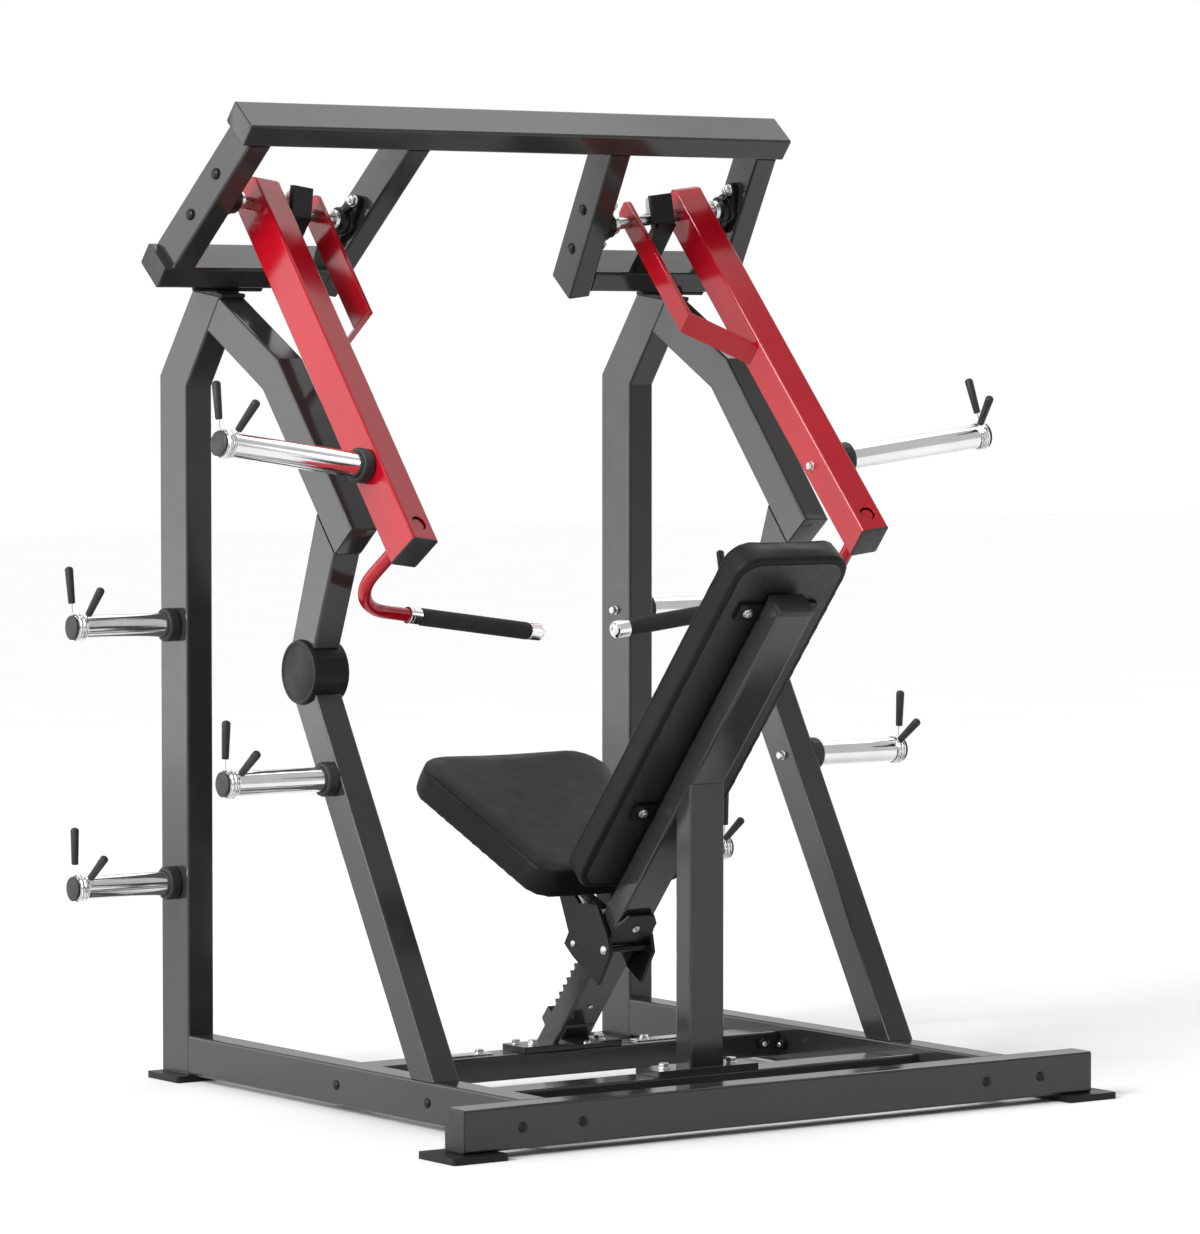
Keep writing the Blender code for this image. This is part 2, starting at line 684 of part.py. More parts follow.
def handle():
    """The bent handle bar through the arm, with its raised rings, and the grip sleeve on it."""
    bend_centre = (HANDLE_S - HANDLE_BEND, HANDLE_N + HANDLE_BEND)
    points = [arm_point(HANDLE_S, HANDLE_D, n) for n in (0.036, -0.060, bend_centre[1] + 0.001)]
    for step in range(9):
        angle = -step / 8 * pi / 2
        s = bend_centre[0] + HANDLE_BEND * cos(angle)
        points.append(arm_point(s, HANDLE_D, bend_centre[1] + HANDLE_BEND * sin(angle)))
    radii = [HANDLE_R] * len(points)
    ring = 0.018
    thin = 0.0125
    for s, r in (
        (0.1112, HANDLE_R),
        (0.111, ring - 0.002),
        (0.109, ring),
        (0.084, ring),
        (GRIP_START, ring - 0.002),
        (GRIP_START - 0.0002, thin),
        (GRIP_END + 0.0002, thin),
        (GRIP_END, 0.0165),
        (GRIP_END - 0.002, 0.0175),
        (HANDLE_END + 0.005, 0.0175),
        (HANDLE_END + 0.001, 0.015),
        (HANDLE_END, 0.012),
    ):
        points.append(arm_point(s, HANDLE_D, HANDLE_N))
        radii.append(r)
    bar = swept("handle_bar", points, radii, ARM_D_DIR, RED_PAINT, origin=PIVOT)
    start = arm_point(GRIP_START - 0.0005, HANDLE_D, HANDLE_N)
    length = GRIP_START - GRIP_END - 0.001
    outer = [(0, 0.0155), (0.003, 0.0172), (length - 0.003, 0.0172), (length, 0.0155)]
    grip = sleeve("grip", start, -ARM_S_DIR, outer, thin + 0.0004, RUBBER, sides=24, origin=PIVOT)
    return both_sides(bar) + both_sides(grip)


def horn(name, root, axis, length, **more):
    """A plate horn: collar against the tube, sleeve, and a cap no wider than the sleeve."""
    profile = [
        (0, HORN_COLLAR_R),
        (HORN_COLLAR_T - 0.003, HORN_COLLAR_R),
        (HORN_COLLAR_T, HORN_COLLAR_R - 0.003),
        (HORN_COLLAR_T + 0.0002, HORN_SLEEVE_R),
        (length - 0.004, HORN_SLEEVE_R),
        (length, HORN_SLEEVE_R - 0.004),
    ]
    base = root + axis * GAP
    depth = length - 0.012
    made = turned(
        name, base, axis, profile, CHROME, sides=48, hollow_r=HORN_BORE_R, hollow_depth=depth, **more
    )
    return both_sides(made)


def horns():
    """Storage horns on the uprights and legs, and a loading horn on each arm."""
    for name, height in zip(("upright_horn_high", "upright_horn_low"), UPRIGHT_HORN_HEIGHTS):
        horn(name, side_point(RAIL_OUT, UPRIGHT_HORN_ALONG, height), EX, UPRIGHT_HORN_LENGTH)
    horn("leg_horn", side_point(RAIL_OUT, *LEG_HORN), EX, LEG_HORN_LENGTH)
    return horn("arm_horn", arm_point(ARM_S[1], HORN_D, 0), ARM_S_DIR, ARM_HORN_LENGTH, origin=PIVOT)


def base_plate(name, beam):
    """The plate that stands on one of the two flat beams."""
    outline = rounded_rectangle(PLATE_WIDE, beam[1] - beam[0], 0.004)
    centre = side_point(0, (beam[0] + beam[1]) / 2, 0)
    return prism(name, outline, centre, EX, EY, EZ, (FLAT_TOP + GAP, PLATE_TOP), PAINT)


def seat_post():
    """The post behind the seat tube, on a base plate."""
    post = side_tube(
        "seat_post",
        0,
        2 * SEAT_TUBE_HALF,
        TUBE_THIN,
        [((0.262, PLATE_TOP - 0.001), (0.312, PLATE_TOP - 0.001)), ((0.262, 0.6342), (0.312, 0.5744))],
    )
    plate = base_plate("plate", POST_BEAM)
    join(plate, post)
    plate.name = "seat_post"


def rack_outline():
    """Base strip and pointed teeth, in lengths up the tube (t) and out of its front face (b)."""
    points = [(-0.490, -0.0485), (-0.250, -0.0485), (-0.250, -0.058)]
    for tooth in range(RACK_TEETH):
        top = RACK_TOP - RACK_PITCH * tooth
        points += [(top, -0.058), (top - 0.006, -0.0745), (top - 0.018, -0.058)]
    return points


def seat_tube():
    """The slanted tube: base plate, toothed rack up its front face and a stop below the rack."""
    t_near = (PLATE_TOP - SEAT_ORIGIN[1]) / TUBE_UP.z
    t_far = (PLATE_TOP - SEAT_ORIGIN[1] + SEAT_TUBE_DEPTH * TUBE_REAR.z) / TUBE_UP.z
    foot_near = seat_point(0, t_near, 0)
    foot_far = seat_point(0, t_far, -SEAT_TUBE_DEPTH)
    foot_drop = Vector((0, 0, -0.001))
    low = ((foot_near + foot_far) / 2 + foot_drop, EX, (foot_far - foot_near) / SEAT_TUBE_DEPTH)
    high = (seat_point(0, SEAT_TUBE_TOP, -SEAT_TUBE_DEPTH / 2), EX, -TUBE_REAR)
    main = tube("main", [low, high], 2 * SEAT_TUBE_HALF, SEAT_TUBE_DEPTH, PAINT)
    plate = base_plate("seat_tube", SEAT_BEAM)
    rack = prism("rack", rack_outline(), SEAT_0, TUBE_UP, TUBE_REAR, EX, (-0.020, 0.020), PAINT)
    stop_outline = [(-0.540, -0.0485), (-0.500, -0.0485), (-0.500, -0.078), (-0.532, -0.078)]
    stop = prism("stop", stop_outline, SEAT_0, TUBE_UP, TUBE_REAR, EX, (-0.025, 0.025), PAINT)
    join(plate, main, rack, stop)
    return plate


def pads():
    """Back pad on two cross brackets."""
    outline = rounded_rectangle(0.268, 0.860, 0.050, steps=5)
    small = rounded_rectangle(0.256, 0.848, 0.044, steps=5)
    middle = seat_point(0, 0.278, 0)
    stations = [(middle + TUBE_REAR * b, EX, TUBE_UP) for b in (-0.0585, -0.0645, -0.109, -0.117)]
    loft("back_pad", stations, [small, outline, outline, small], VINYL, smooth=True)
    for name, t in (("pad_bracket_top", 0.581), ("pad_bracket_low", 0.062)):
        outline = rounded_rectangle(0.180, 0.040, 0.004)
        prism(name, outline, seat_point(0, t, 0), EX, TUBE_UP, TUBE_REAR, (-0.0582, -0.0503), BLACK_PAINT)


def seat_outline(shrink):
    """The seat seen from above: u across, v towards the rear; wide at the front."""
    length = 0.430
    corners = ((0.225, 0, 0.075), (0.168, length, 0.055))
    right = []
    (x0, y0, r0), (x1, y1, r1) = corners
    slope = (x0 - x1) / length
    for step in range(6):
        angle = pi / 2 * (1 - step / 5)
        right.append((x0 - r0 + r0 * cos(angle), y0 + r0 - r0 * sin(angle)))
    for step in range(6):
        angle = -pi / 2 * step / 5
        right.append((x1 - r1 + r1 * cos(angle), y1 - r1 - r1 * sin(angle)))
    points = []
    for u, v in right:
        points.append((u - shrink * (1 if u > 0 else -1), v))
    left = [(-u, v) for u, v in reversed(points)]
    ring = points + left
    return [(u, length / 2 + (v - length / 2) * (1 - 2 * shrink / length)) for u, v in ring]


def seat_pad():
    top = side_point(0, *SEAT_FRONT)
    heights = (0, -0.007, -SEAT_THICK + 0.006, -SEAT_THICK)
    stations = [(top + SEAT_UP * height, EX, SEAT_BACKWARD) for height in heights]
    outlines = [seat_outline(0.007), seat_outline(0), seat_outline(0), seat_outline(0.006)]
    return loft("seat_pad", stations, outlines, VINYL, smooth=True)


def carriage():
    """Side plates that straddle the tube, tied behind it, with gussets and a plate under the seat."""
    side = [
        (-0.234, -0.102),
        (-0.332, -0.089),
        (-0.331, -0.052),
        (-0.314, 0.045),
        (-0.2405, 0.0354),
        (-0.2198, 0.0093),
        (-0.1965, -0.0585),
    ]
    gusset = [(-0.244, -0.085), (-0.326, -0.070), (-0.256, -0.215), (-0.2505, -0.215), (-0.2405, -0.150)]
    pieces = []
    for hand in (1, -1):
        span = sorted((hand * CARRIAGE_X[0], hand * CARRIAGE_X[1]))
        inner = sorted((hand * (CARRIAGE_X[0] - 0.007), hand * (CARRIAGE_X[0] + 0.001)))
        pieces.append(prism("seat_carriage", side, SEAT_0, TUBE_UP, TUBE_REAR, EX, span, BLACK_PAINT))
        pieces.append(prism("gusset", gusset, SEAT_0, TUBE_UP, TUBE_REAR, EX, inner, BLACK_PAINT))
    half = CARRIAGE_X[0] + 0.001
    rear = [(-0.240, 0.006), (-0.240, 0.011), (-0.205, 0.011), (-0.205, 0.006)]
    pieces.append(prism("rear", rear, SEAT_0, TUBE_UP, TUBE_REAR, EX, (-half, half), BLACK_PAINT))
    wide = CARRIAGE_X[0] - 0.001
    upper = [
        (-wide, -0.205),
        (wide, -0.205),
        (wide, -0.185),
        (0.030, -0.162),
        (-0.030, -0.162),
        (-wide, -0.185),
    ]
    pieces.append(prism("upper", upper, SEAT_0, EX, TUBE_UP, TUBE_REAR, (0.006, 0.011), BLACK_PAINT))
    tie = [(-wide, -0.207), (wide, -0.207), (wide, -0.203), (-wide, -0.203)]
    pieces.append(prism("tie", tie, SEAT_0, EX, TUBE_UP, TUBE_REAR, (0.006, 0.011), BLACK_PAINT))
    axle = (seat_point(-half, -0.2455, 0.016), seat_point(half, -0.2455, 0.016))
    pieces.append(rod("axle", *axle, 0.0065, BLACK_PAINT, sides=16))
    top = side_point(0, *SEAT_FRONT) - SEAT_UP * (SEAT_THICK + GAP)
    board = [(-0.075, 0.180), (0.075, 0.180), (0.065, 0.412), (-0.065, 0.412)]
    pieces.append(prism("mount", board, top, EX, SEAT_BACKWARD, SEAT_UP, (-0.008, 0), BLACK_PAINT))
    body = join(*pieces)
    body.name = "seat_carriage"
    return body


def swung(t, b):
    """A point of the latch after it has turned clear of the rack."""
    from_t = t - LATCH_PIVOT[0]
    from_b = b - LATCH_PIVOT[1]
    new_t = from_t * cos(LATCH_SWING) - from_b * sin(LATCH_SWING)
    new_b = from_b * cos(LATCH_SWING) + from_t * sin(LATCH_SWING)
    return LATCH_PIVOT[0] + new_t, LATCH_PIVOT[1] + new_b


def latch():
    """The pawl and finger lever that turn on a cross pin ahead of the rack, shown released."""
    outline = [
        (-0.3090, -0.0610),
        (-0.3150, -0.0780),
        (-0.3110, -0.0885),
        (-0.2700, -0.0950),
        (-0.2920, -0.1500),
        (-0.2830, -0.1540),
        (-0.2440, -0.0915),
        (-0.2440, -0.0795),
        (-0.2985, -0.0765),
    ]
    turned_outline = [swung(t, b) for t, b in outline]
    pivot = seat_point(0, *LATCH_PIVOT)
    made = prism(
        "seat_latch", turned_outline, SEAT_0, TUBE_UP, TUBE_REAR, EX, (-0.018, 0.018), STEEL, origin=pivot
    )
    pin = rod("pin", pivot - EX * 0.0385, pivot + EX * 0.0385, 0.005, STEEL, sides=16)
    return join(made, pin)


def main():
    for old in list(bpy.data.objects):
        bpy.data.objects.remove(old)
    base_beams()
    feet()
    upright()
    legs()
    apex_plates()
    top_frame()
    flange_bearings()
    stop_posts()
    shaft()
    arm()
    brace()
    handle()
    horns()
    seat_post()
    seat_tube()
    pads()
    seat_pad()
    carriage()
    latch()


main()
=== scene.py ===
"""Looks of the plate-loaded press machine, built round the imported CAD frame.

Metres, +Z up, floor at Z = 0.
"""

import json
from math import cos, pi, radians, sin, tau

import bmesh
import bpy
from mathutils import Matrix, Vector
from mathutils.bvhtree import BVHTree

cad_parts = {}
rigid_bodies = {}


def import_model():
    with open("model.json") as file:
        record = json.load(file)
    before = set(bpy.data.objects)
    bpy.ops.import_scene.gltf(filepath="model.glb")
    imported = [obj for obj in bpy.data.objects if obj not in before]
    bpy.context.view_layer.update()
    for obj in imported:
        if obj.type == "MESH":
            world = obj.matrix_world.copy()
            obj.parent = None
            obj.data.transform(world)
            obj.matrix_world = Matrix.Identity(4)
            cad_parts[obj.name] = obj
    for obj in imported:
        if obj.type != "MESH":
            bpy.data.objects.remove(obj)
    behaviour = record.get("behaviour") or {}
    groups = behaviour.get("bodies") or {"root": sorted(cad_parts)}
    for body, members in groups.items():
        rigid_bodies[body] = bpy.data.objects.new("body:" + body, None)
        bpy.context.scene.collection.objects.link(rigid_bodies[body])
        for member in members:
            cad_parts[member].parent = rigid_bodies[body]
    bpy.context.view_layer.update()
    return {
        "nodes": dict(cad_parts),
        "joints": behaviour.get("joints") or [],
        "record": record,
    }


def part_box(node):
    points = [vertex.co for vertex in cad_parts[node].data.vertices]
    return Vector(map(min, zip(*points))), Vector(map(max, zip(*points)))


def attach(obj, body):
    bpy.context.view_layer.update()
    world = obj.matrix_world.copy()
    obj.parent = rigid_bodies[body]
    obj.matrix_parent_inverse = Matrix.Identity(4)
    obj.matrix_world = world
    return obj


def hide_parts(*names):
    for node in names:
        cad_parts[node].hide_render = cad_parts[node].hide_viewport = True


for old in list(bpy.data.objects):
    bpy.data.objects.remove(old)
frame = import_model()
NODES = frame["nodes"]
JOINTS = {joint["name"]: joint for joint in frame["joints"]}

# Driving dimensions shared with the frame
MID_ALONG = 0.6541
FRAME_TILT = radians(40.23)
POST_TILT = radians(10.0)
PIVOT_S = 0.2
ARM_DOWN = Vector((0.02697, -0.65545, -0.75476))
SEAT_TILT = radians(50.0)
SEAT_ANGLE = radians(30.0)
RAIL_IN = 0.513
RAIL_OUT = 0.573
SHAFT_R = 0.0125
# Handle: place across, along and off the arm tube, bend radius and bar radius
HANDLE_S = 0.266
HANDLE_D = 0.839
HANDLE_N = -0.215
HANDLE_BEND = 0.100
HANDLE_R = 0.013

# Viewpoint
CAMERA_PLACE = Vector((-6.239, -8.8261, 1.449))
CAMERA_YAW = radians(-35.366)
CAMERA_PITCH = radians(-2.708)
CAMERA_LENS = 160.47

EX = Vector((1, 0, 0))
EY = Vector((0, 1, 0))
EZ = Vector((0, 0, 1))
MIRROR = Matrix.Diagonal((-1, 1, 1, 1))


def unit(values):
    return Vector(values).normalized()


EA = Vector((0, -cos(FRAME_TILT), -sin(FRAME_TILT)))
EB = Vector((0, sin(FRAME_TILT), -cos(FRAME_TILT)))
SHAFT_DIR = -unit(JOINTS["right_arm_hinge"]["axis"])
POST_DOWN = EX * sin(POST_TILT) + EB * cos(POST_TILT)
SHAFT_0 = Vector(JOINTS["right_arm_hinge"]["pos_m"]) - SHAFT_DIR * PIVOT_S
ARM_D = (ARM_DOWN - SHAFT_DIR * ARM_DOWN.dot(SHAFT_DIR)).normalized()
ARM_N = SHAFT_DIR.cross(ARM_D).normalized()
ARM_N = ARM_N if ARM_N.z > 0 else -ARM_N
TUBE_UP = unit(JOINTS["seat_slide"]["axis"])
TUBE_REAR = Vector((0, -sin(SEAT_TILT), -cos(SEAT_TILT)))
SEAT_0 = Vector((0, 0.381 - MID_ALONG, 0.493))
SEAT_BACKWARD = Vector((0, -cos(SEAT_ANGLE), -sin(SEAT_ANGLE)))
SEAT_UP = Vector((0, -sin(SEAT_ANGLE), cos(SEAT_ANGLE)))


def arm_point(s, d, n):
    return SHAFT_0 + SHAFT_DIR * s + ARM_D * d + ARM_N * n


def seat_point(x, t, b):
    return SEAT_0 + EX * x + TUBE_UP * t + TUBE_REAR * b


def side_point(x, along, z):
    return Vector((x, along - MID_ALONG, z))


def span(node, direction):
    """Lowest and highest reach of a CAD node along a direction."""
    reach = [vertex.co.dot(direction) for vertex in NODES[node].data.vertices]
    return min(reach), max(reach)


# ---------------------------------------------------------------- materials


class Nodes:
    """A material's nodes, added and linked with short calls."""

    def __init__(self, name):
        self.material = bpy.data.materials.new(name)
        self.material.use_nodes = True
        self.tree = self.material.node_tree
        self.shader = self.tree.nodes["Principled BSDF"]
        self.place = self.add("ShaderNodeTexCoord").outputs["Object"]

    def add(self, kind, **settings):
        node = self.tree.nodes.new(kind)
        for key, value in settings.items():
            if key in node.inputs:
                node.inputs[key].default_value = value
            else:
                setattr(node, key, value)
        return node

    def link(self, source, target):
        self.tree.links.new(source, target)

    def set(self, **values):
        for key, value in values.items():
            self.shader.inputs[key.replace("_", " ")].default_value = value

    def noise(self, scale, detail=3.0, roughness=0.5):
        node = self.add("ShaderNodeTexNoise", Scale=scale, Detail=detail, Roughness=roughness)
        self.link(self.place, node.inputs["Vector"])
        return node.outputs["Fac"]

    def ramp(self, source, low, high, first, second):
        """Maps a value between two limits to two colours or greys."""
        node = self.add("ShaderNodeValToRGB")
        ends = node.color_ramp.elements
        ends[0].position = low
        ends[1].position = high
        ends[0].color = (*first, 1)
        ends[1].color = (*second, 1)
        self.link(source, node.inputs["Fac"])
        return node.outputs["Color"]

    def grey(self, source, low, high, first, second):
        node = self.add("ShaderNodeMapRange")
        for key, value in (("From Min", low), ("From Max", high), ("To Min", first), ("To Max", second)):
            node.inputs[key].default_value = value
        self.link(source, node.inputs["Value"])
        return node.outputs["Result"]

    def bump(self, source, strength, distance, under=None):
        node = self.add("ShaderNodeBump", Strength=strength, Distance=distance)
        self.link(source, node.inputs["Height"])
        if under is not None:
            self.link(under, node.inputs["Normal"])
        return node.outputs["Normal"]

    def soft_edges(self, radius):
        node = self.add("ShaderNodeBevel", Radius=radius)
        node.samples = 6
        return node.outputs["Normal"]

    def surface(self, colour=None, roughness=None, normal=None):
        for key, source in (("Base Color", colour), ("Roughness", roughness), ("Normal", normal)):
            if source is not None:
                self.link(source, self.shader.inputs[key])
        return self.material


def paint(name, colour, dark, low_rough, high_rough, coat, shine=0.42):
    """Gloss powder coat: slow colour drift, fine orange peel, patchy gloss and softened edges."""
    nodes = Nodes(name)
    nodes.set(Specular_IOR_Level=shine, Coat_Weight=coat, Coat_Roughness=0.05)
    drift = nodes.noise(5.0, 4.0)
    tone = nodes.ramp(drift, 0.35, 0.65, dark, colour)
    gloss = nodes.grey(nodes.noise(38.0, 5.0, 0.6), 0.3, 0.7, low_rough, high_rough)
    peel = nodes.bump(nodes.noise(620.0, 2.0), 0.08, 0.0005, nodes.soft_edges(0.0013))
    return nodes.surface(tone, gloss, peel)


def chrome():
    nodes = Nodes("chrome")
    nodes.set(Metallic=1.0)
    tone = nodes.ramp(nodes.noise(14.0, 3.0), 0.3, 0.7, (0.74, 0.745, 0.75), (0.83, 0.83, 0.83))
    gloss = nodes.grey(nodes.noise(90.0, 6.0, 0.7), 0.35, 0.75, 0.10, 0.17)
    fine = nodes.bump(nodes.noise(1500.0, 2.0), 0.02, 0.0003)
    return nodes.surface(tone, gloss, fine)


def zinc():
    nodes = Nodes("zinc")
    nodes.set(Metallic=1.0)
    tone = nodes.ramp(nodes.noise(300.0, 4.0), 0.3, 0.7, (0.55, 0.55, 0.54), (0.80, 0.80, 0.79))
    gloss = nodes.grey(nodes.noise(180.0, 4.0), 0.3, 0.7, 0.18, 0.36)
    return nodes.surface(tone, gloss, nodes.bump(nodes.noise(900.0), 0.12, 0.0004, nodes.soft_edges(0.0008)))


def turned_steel():
    """Bright bar with faint rings from turning."""
    nodes = Nodes("turned_steel")
    nodes.set(Metallic=1.0)
    wave = nodes.add("ShaderNodeTexWave", Scale=260.0, Distortion=1.5, Detail=2.0)
    nodes.link(nodes.place, wave.inputs["Vector"])
    tone = nodes.ramp(nodes.noise(60.0), 0.3, 0.7, (0.42, 0.42, 0.42), (0.62, 0.62, 0.61))
    gloss = nodes.grey(nodes.noise(120.0, 5.0), 0.3, 0.7, 0.14, 0.30)
    return nodes.surface(tone, gloss, nodes.bump(wave.outputs["Fac"], 0.05, 0.0003))


def vinyl():
    """Black upholstery vinyl: pebbled grain, slight sheen and a little drift in tone."""
    nodes = Nodes("vinyl")
    nodes.set(Specular_IOR_Level=0.13, Sheen_Weight=0.02, Sheen_Roughness=0.5)
    cells = nodes.add("ShaderNodeTexVoronoi", Scale=520.0, feature="DISTANCE_TO_EDGE")
    nodes.link(nodes.place, cells.inputs["Vector"])
    grain = nodes.grey(cells.outputs["Distance"], 0.0, 0.18, 0.0, 1.0)
    tone = nodes.ramp(nodes.noise(7.0, 5.0), 0.3, 0.7, (0.0058, 0.0058, 0.0060), (0.0092, 0.0091, 0.0092))
    gloss = nodes.grey(nodes.noise(26.0, 6.0, 0.6), 0.3, 0.7, 0.40, 0.54)
    creases = nodes.bump(nodes.noise(34.0, 6.0, 0.65), 0.10, 0.004)
    return nodes.surface(tone, gloss, nodes.bump(grain, 0.16, 0.0005, creases))


def foam():
    """Closed-cell rubber foam of the hand grips."""
    nodes = Nodes("foam")
    nodes.set(Specular_IOR_Level=0.3)
    tone = nodes.ramp(nodes.noise(160.0, 6.0, 0.7), 0.3, 0.7, (0.012, 0.012, 0.012), (0.026, 0.026, 0.027))
    gloss = nodes.grey(nodes.noise(240.0, 4.0), 0.3, 0.7, 0.62, 0.85)
    pores = nodes.bump(nodes.noise(1300.0, 4.0, 0.8), 0.45, 0.0006)
    return nodes.surface(tone, gloss, pores)


def moulded(name, light, dark, low_rough, high_rough, texture):
    """Moulded black plastic or rubber with a fine spark-eroded texture."""
    nodes = Nodes(name)
    nodes.set(Specular_IOR_Level=0.45)
    tone = nodes.ramp(nodes.noise(24.0, 5.0), 0.3, 0.7, dark, light)
    gloss = nodes.grey(nodes.noise(70.0, 5.0), 0.3, 0.7, low_rough, high_rough)
    spark = nodes.bump(nodes.noise(texture, 3.0), 0.18, 0.0005, nodes.soft_edges(0.0012))
    return nodes.surface(tone, gloss, spark)


def floor_material():
    nodes = Nodes("studio_floor")
    tone = nodes.ramp(nodes.noise(1.5, 3.0), 0.3, 0.7, (0.93, 0.93, 0.93), (0.95, 0.95, 0.95))
    return nodes.surface(tone, nodes.grey(nodes.noise(3.0), 0.3, 0.7, 0.75, 0.85))


FRAME_PAINT = paint("frame_paint", (0.027, 0.027, 0.0273), (0.023, 0.023, 0.0233), 0.09, 0.16, 0.10)
BLACK_PAINT = paint("black_paint", (0.007, 0.007, 0.0073), (0.005, 0.005, 0.0053), 0.28, 0.42, 0.0, 0.22)
RED_PAINT = paint("red_paint", (0.360, 0.0024, 0.0115), (0.320, 0.0020, 0.0090), 0.10, 0.16, 0.02)
CHROME = chrome()
ZINC = zinc()
STEEL = turned_steel()
VINYL = vinyl()
FOAM = foam()
PLASTIC = moulded("black_plastic", (0.015, 0.015, 0.016), (0.010, 0.010, 0.011), 0.36, 0.52, 900.0)
RUBBER = moulded("black_rubber", (0.013, 0.013, 0.013), (0.008, 0.008, 0.008), 0.50, 0.70, 600.0)

SLOTS = {
    "frame_paint": FRAME_PAINT,
    "black_paint": BLACK_PAINT,
    "red_paint": RED_PAINT,
    "chrome": CHROME,
    "steel": STEEL,
    "vinyl": VINYL,
    "rubber": RUBBER,
}
SLOT_OF = {made.name: slot for slot, made in SLOTS.items()}
SLOT_OF.update({ZINC.name: "steel", FOAM.name: "rubber", PLASTIC.name: "rubber"})
for part in frame["record"]["subparts"]:
    shown = NODES[part["node"]]
    shown.data.materials.clear()
    shown.data.materials.append(SLOTS[part["material_slot"]])


# ---------------------------------------------------------------- mesh helpers


def finish_piece(name, bm, made_of, body, smooth=40.0, bevel=0.0):
    """Turns a bmesh in the row frame into a piece that rides on a body."""
    bmesh.ops.recalc_face_normals(bm, faces=bm.faces)
    mesh = bpy.data.meshes.new(name)
    bm.to_mesh(mesh)
    bm.free()
    mesh.materials.append(made_of)
    mesh.shade_smooth()
    mesh.set_sharp_from_angle(angle=radians(smooth))
    piece = bpy.data.objects.new(name, mesh)
    bpy.context.scene.collection.objects.link(piece)
    if bevel:
        edge = piece.modifiers.new("edges", "BEVEL")
        edge.width = bevel
        edge.segments = 2
        edge.limit_method = "ANGLE"
        edge.angle_limit = radians(35)
        edge.harden_normals = True
    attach(piece, body)
    return piece


def across(axis):
    """Two directions at right angles to an axis, the first as near upright as it can be."""
    up = EZ if abs(axis.z) < 0.9 else EY
    first = (up - axis * up.dot(axis)).normalized()
    return first, axis.cross(first)


def add_ring(bm, centre, u_dir, v_dir, outline):
    return [bm.verts.new(centre + u_dir * u + v_dir * v) for u, v in outline]


def bridge(bm, first, second):
    for i in range(len(first)):
        j = (i + 1) % len(first)
        bm.faces.new((first[i], first[j], second[j], second[i]))


def circle(radius, sides):
    return [(radius * cos(tau * i / sides), radius * sin(tau * i / sides)) for i in range(sides)]


def rounded_rectangle(wide, deep, radius, steps=5):
    points = []
    for corner, (side_u, side_v) in enumerate(((1, 1), (-1, 1), (-1, -1), (1, -1))):
        for step in range(steps + 1):
            angle = (corner + step / steps) * pi / 2
            u = side_u * (wide / 2 - radius) + radius * cos(angle)
            points.append((u, side_v * (deep / 2 - radius) + radius * sin(angle)))
    return points


def add_turned(bm, base, axis, profile, sides=48):
    """Adds a turned solid: profile holds (distance along the axis, radius)."""
    u_dir, v_dir = across(axis)
    rings = [add_ring(bm, base + axis * at, u_dir, v_dir, circle(r, sides)) for at, r in profile]
    for first, second in zip(rings, rings[1:]):
        bridge(bm, first, second)
    bm.faces.new(rings[0])
    bm.faces.new(rings[-1])


def add_sleeve(bm, base, axis, outer, bore, sides=48):
    """Adds a turned solid with a bore right through it."""
    u_dir, v_dir = across(axis)
    loop = list(outer) + [(outer[-1][0], bore), (outer[0][0], bore)]
    rings = [add_ring(bm, base + axis * at, u_dir, v_dir, circle(r, sides)) for at, r in loop]
    for first, second in zip(rings, rings[1:] + rings[:1]):
        bridge(bm, first, second)


def add_prism(bm, outline, base, u_dir, v_dir, w_dir, low, high):
    rings = [add_ring(bm, base + w_dir * w, u_dir, v_dir, outline) for w in (low, high)]
    bridge(bm, *rings)
    bm.faces.new(rings[0])
    bm.faces.new(rings[1])


def mirrored_body(body):
    return body.replace("right_", "left_")


def both(piece, body):
    """Keeps a right-hand piece and makes its left-hand twin."""
    base = piece.name
    piece.name = "right_" + base
    twin = piece.copy()
    twin.data = piece.data.copy()
    twin.name = "left_" + base
    bpy.context.scene.collection.objects.link(twin)
    twin.parent = None
    twin.matrix_world = Matrix.Identity(4)
    twin.data.transform(MIRROR)
    twin.data.flip_normals()
    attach(twin, mirrored_body(body))
    return piece, twin


def both_replace(pair, *nodes):
    for side, piece in zip(("right_", "left_"), pair):
        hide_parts(*[side + node for node in nodes])


def add_tube_path(bm, points, radius, sides=12, closed=False):
    """Adds a round bar through points, carrying its cross-section along without twist."""
    count = len(points)
    headings = []
    for i in range(count):
        before = points[(i - 1) % count] if closed else points[max(i - 1, 0)]
        after = points[(i + 1) % count] if closed else points[min(i + 1, count - 1)]
        headings.append((after - before).normalized())
    u_dir = across(headings[0])[0]
    rings = []
    for point, heading in zip(points, headings):
        u_dir = (u_dir - heading * u_dir.dot(heading)).normalized()
        rings.append(add_ring(bm, point, u_dir, heading.cross(u_dir), circle(radius, sides)))
    for first, second in zip(rings, rings[1:] + (rings[:1] if closed else [])):
        bridge(bm, first, second)
    if not closed:
        bm.faces.new(rings[0])
        bm.faces.new(rings[-1])


# ---------------------------------------------------------------- fasteners

# Domes as radius and height; nuts as width across flats, height and washer radius
BASE_DOME = (0.0095, 0.005)
POST_DOME = (0.0115, 0.007)
RAIL_NUT = (0.018, 0.012, 0.012)
BEAM_NUT = (0.018, 0.010, 0.012)
WASHER_THICK = 0.0018
BASE_BOLT_Z = 0.053
FLANGE_BOLT_OUT = 0.0515
SHAFT_REACH = 0.4135
STRIP_ALONG = 0.747


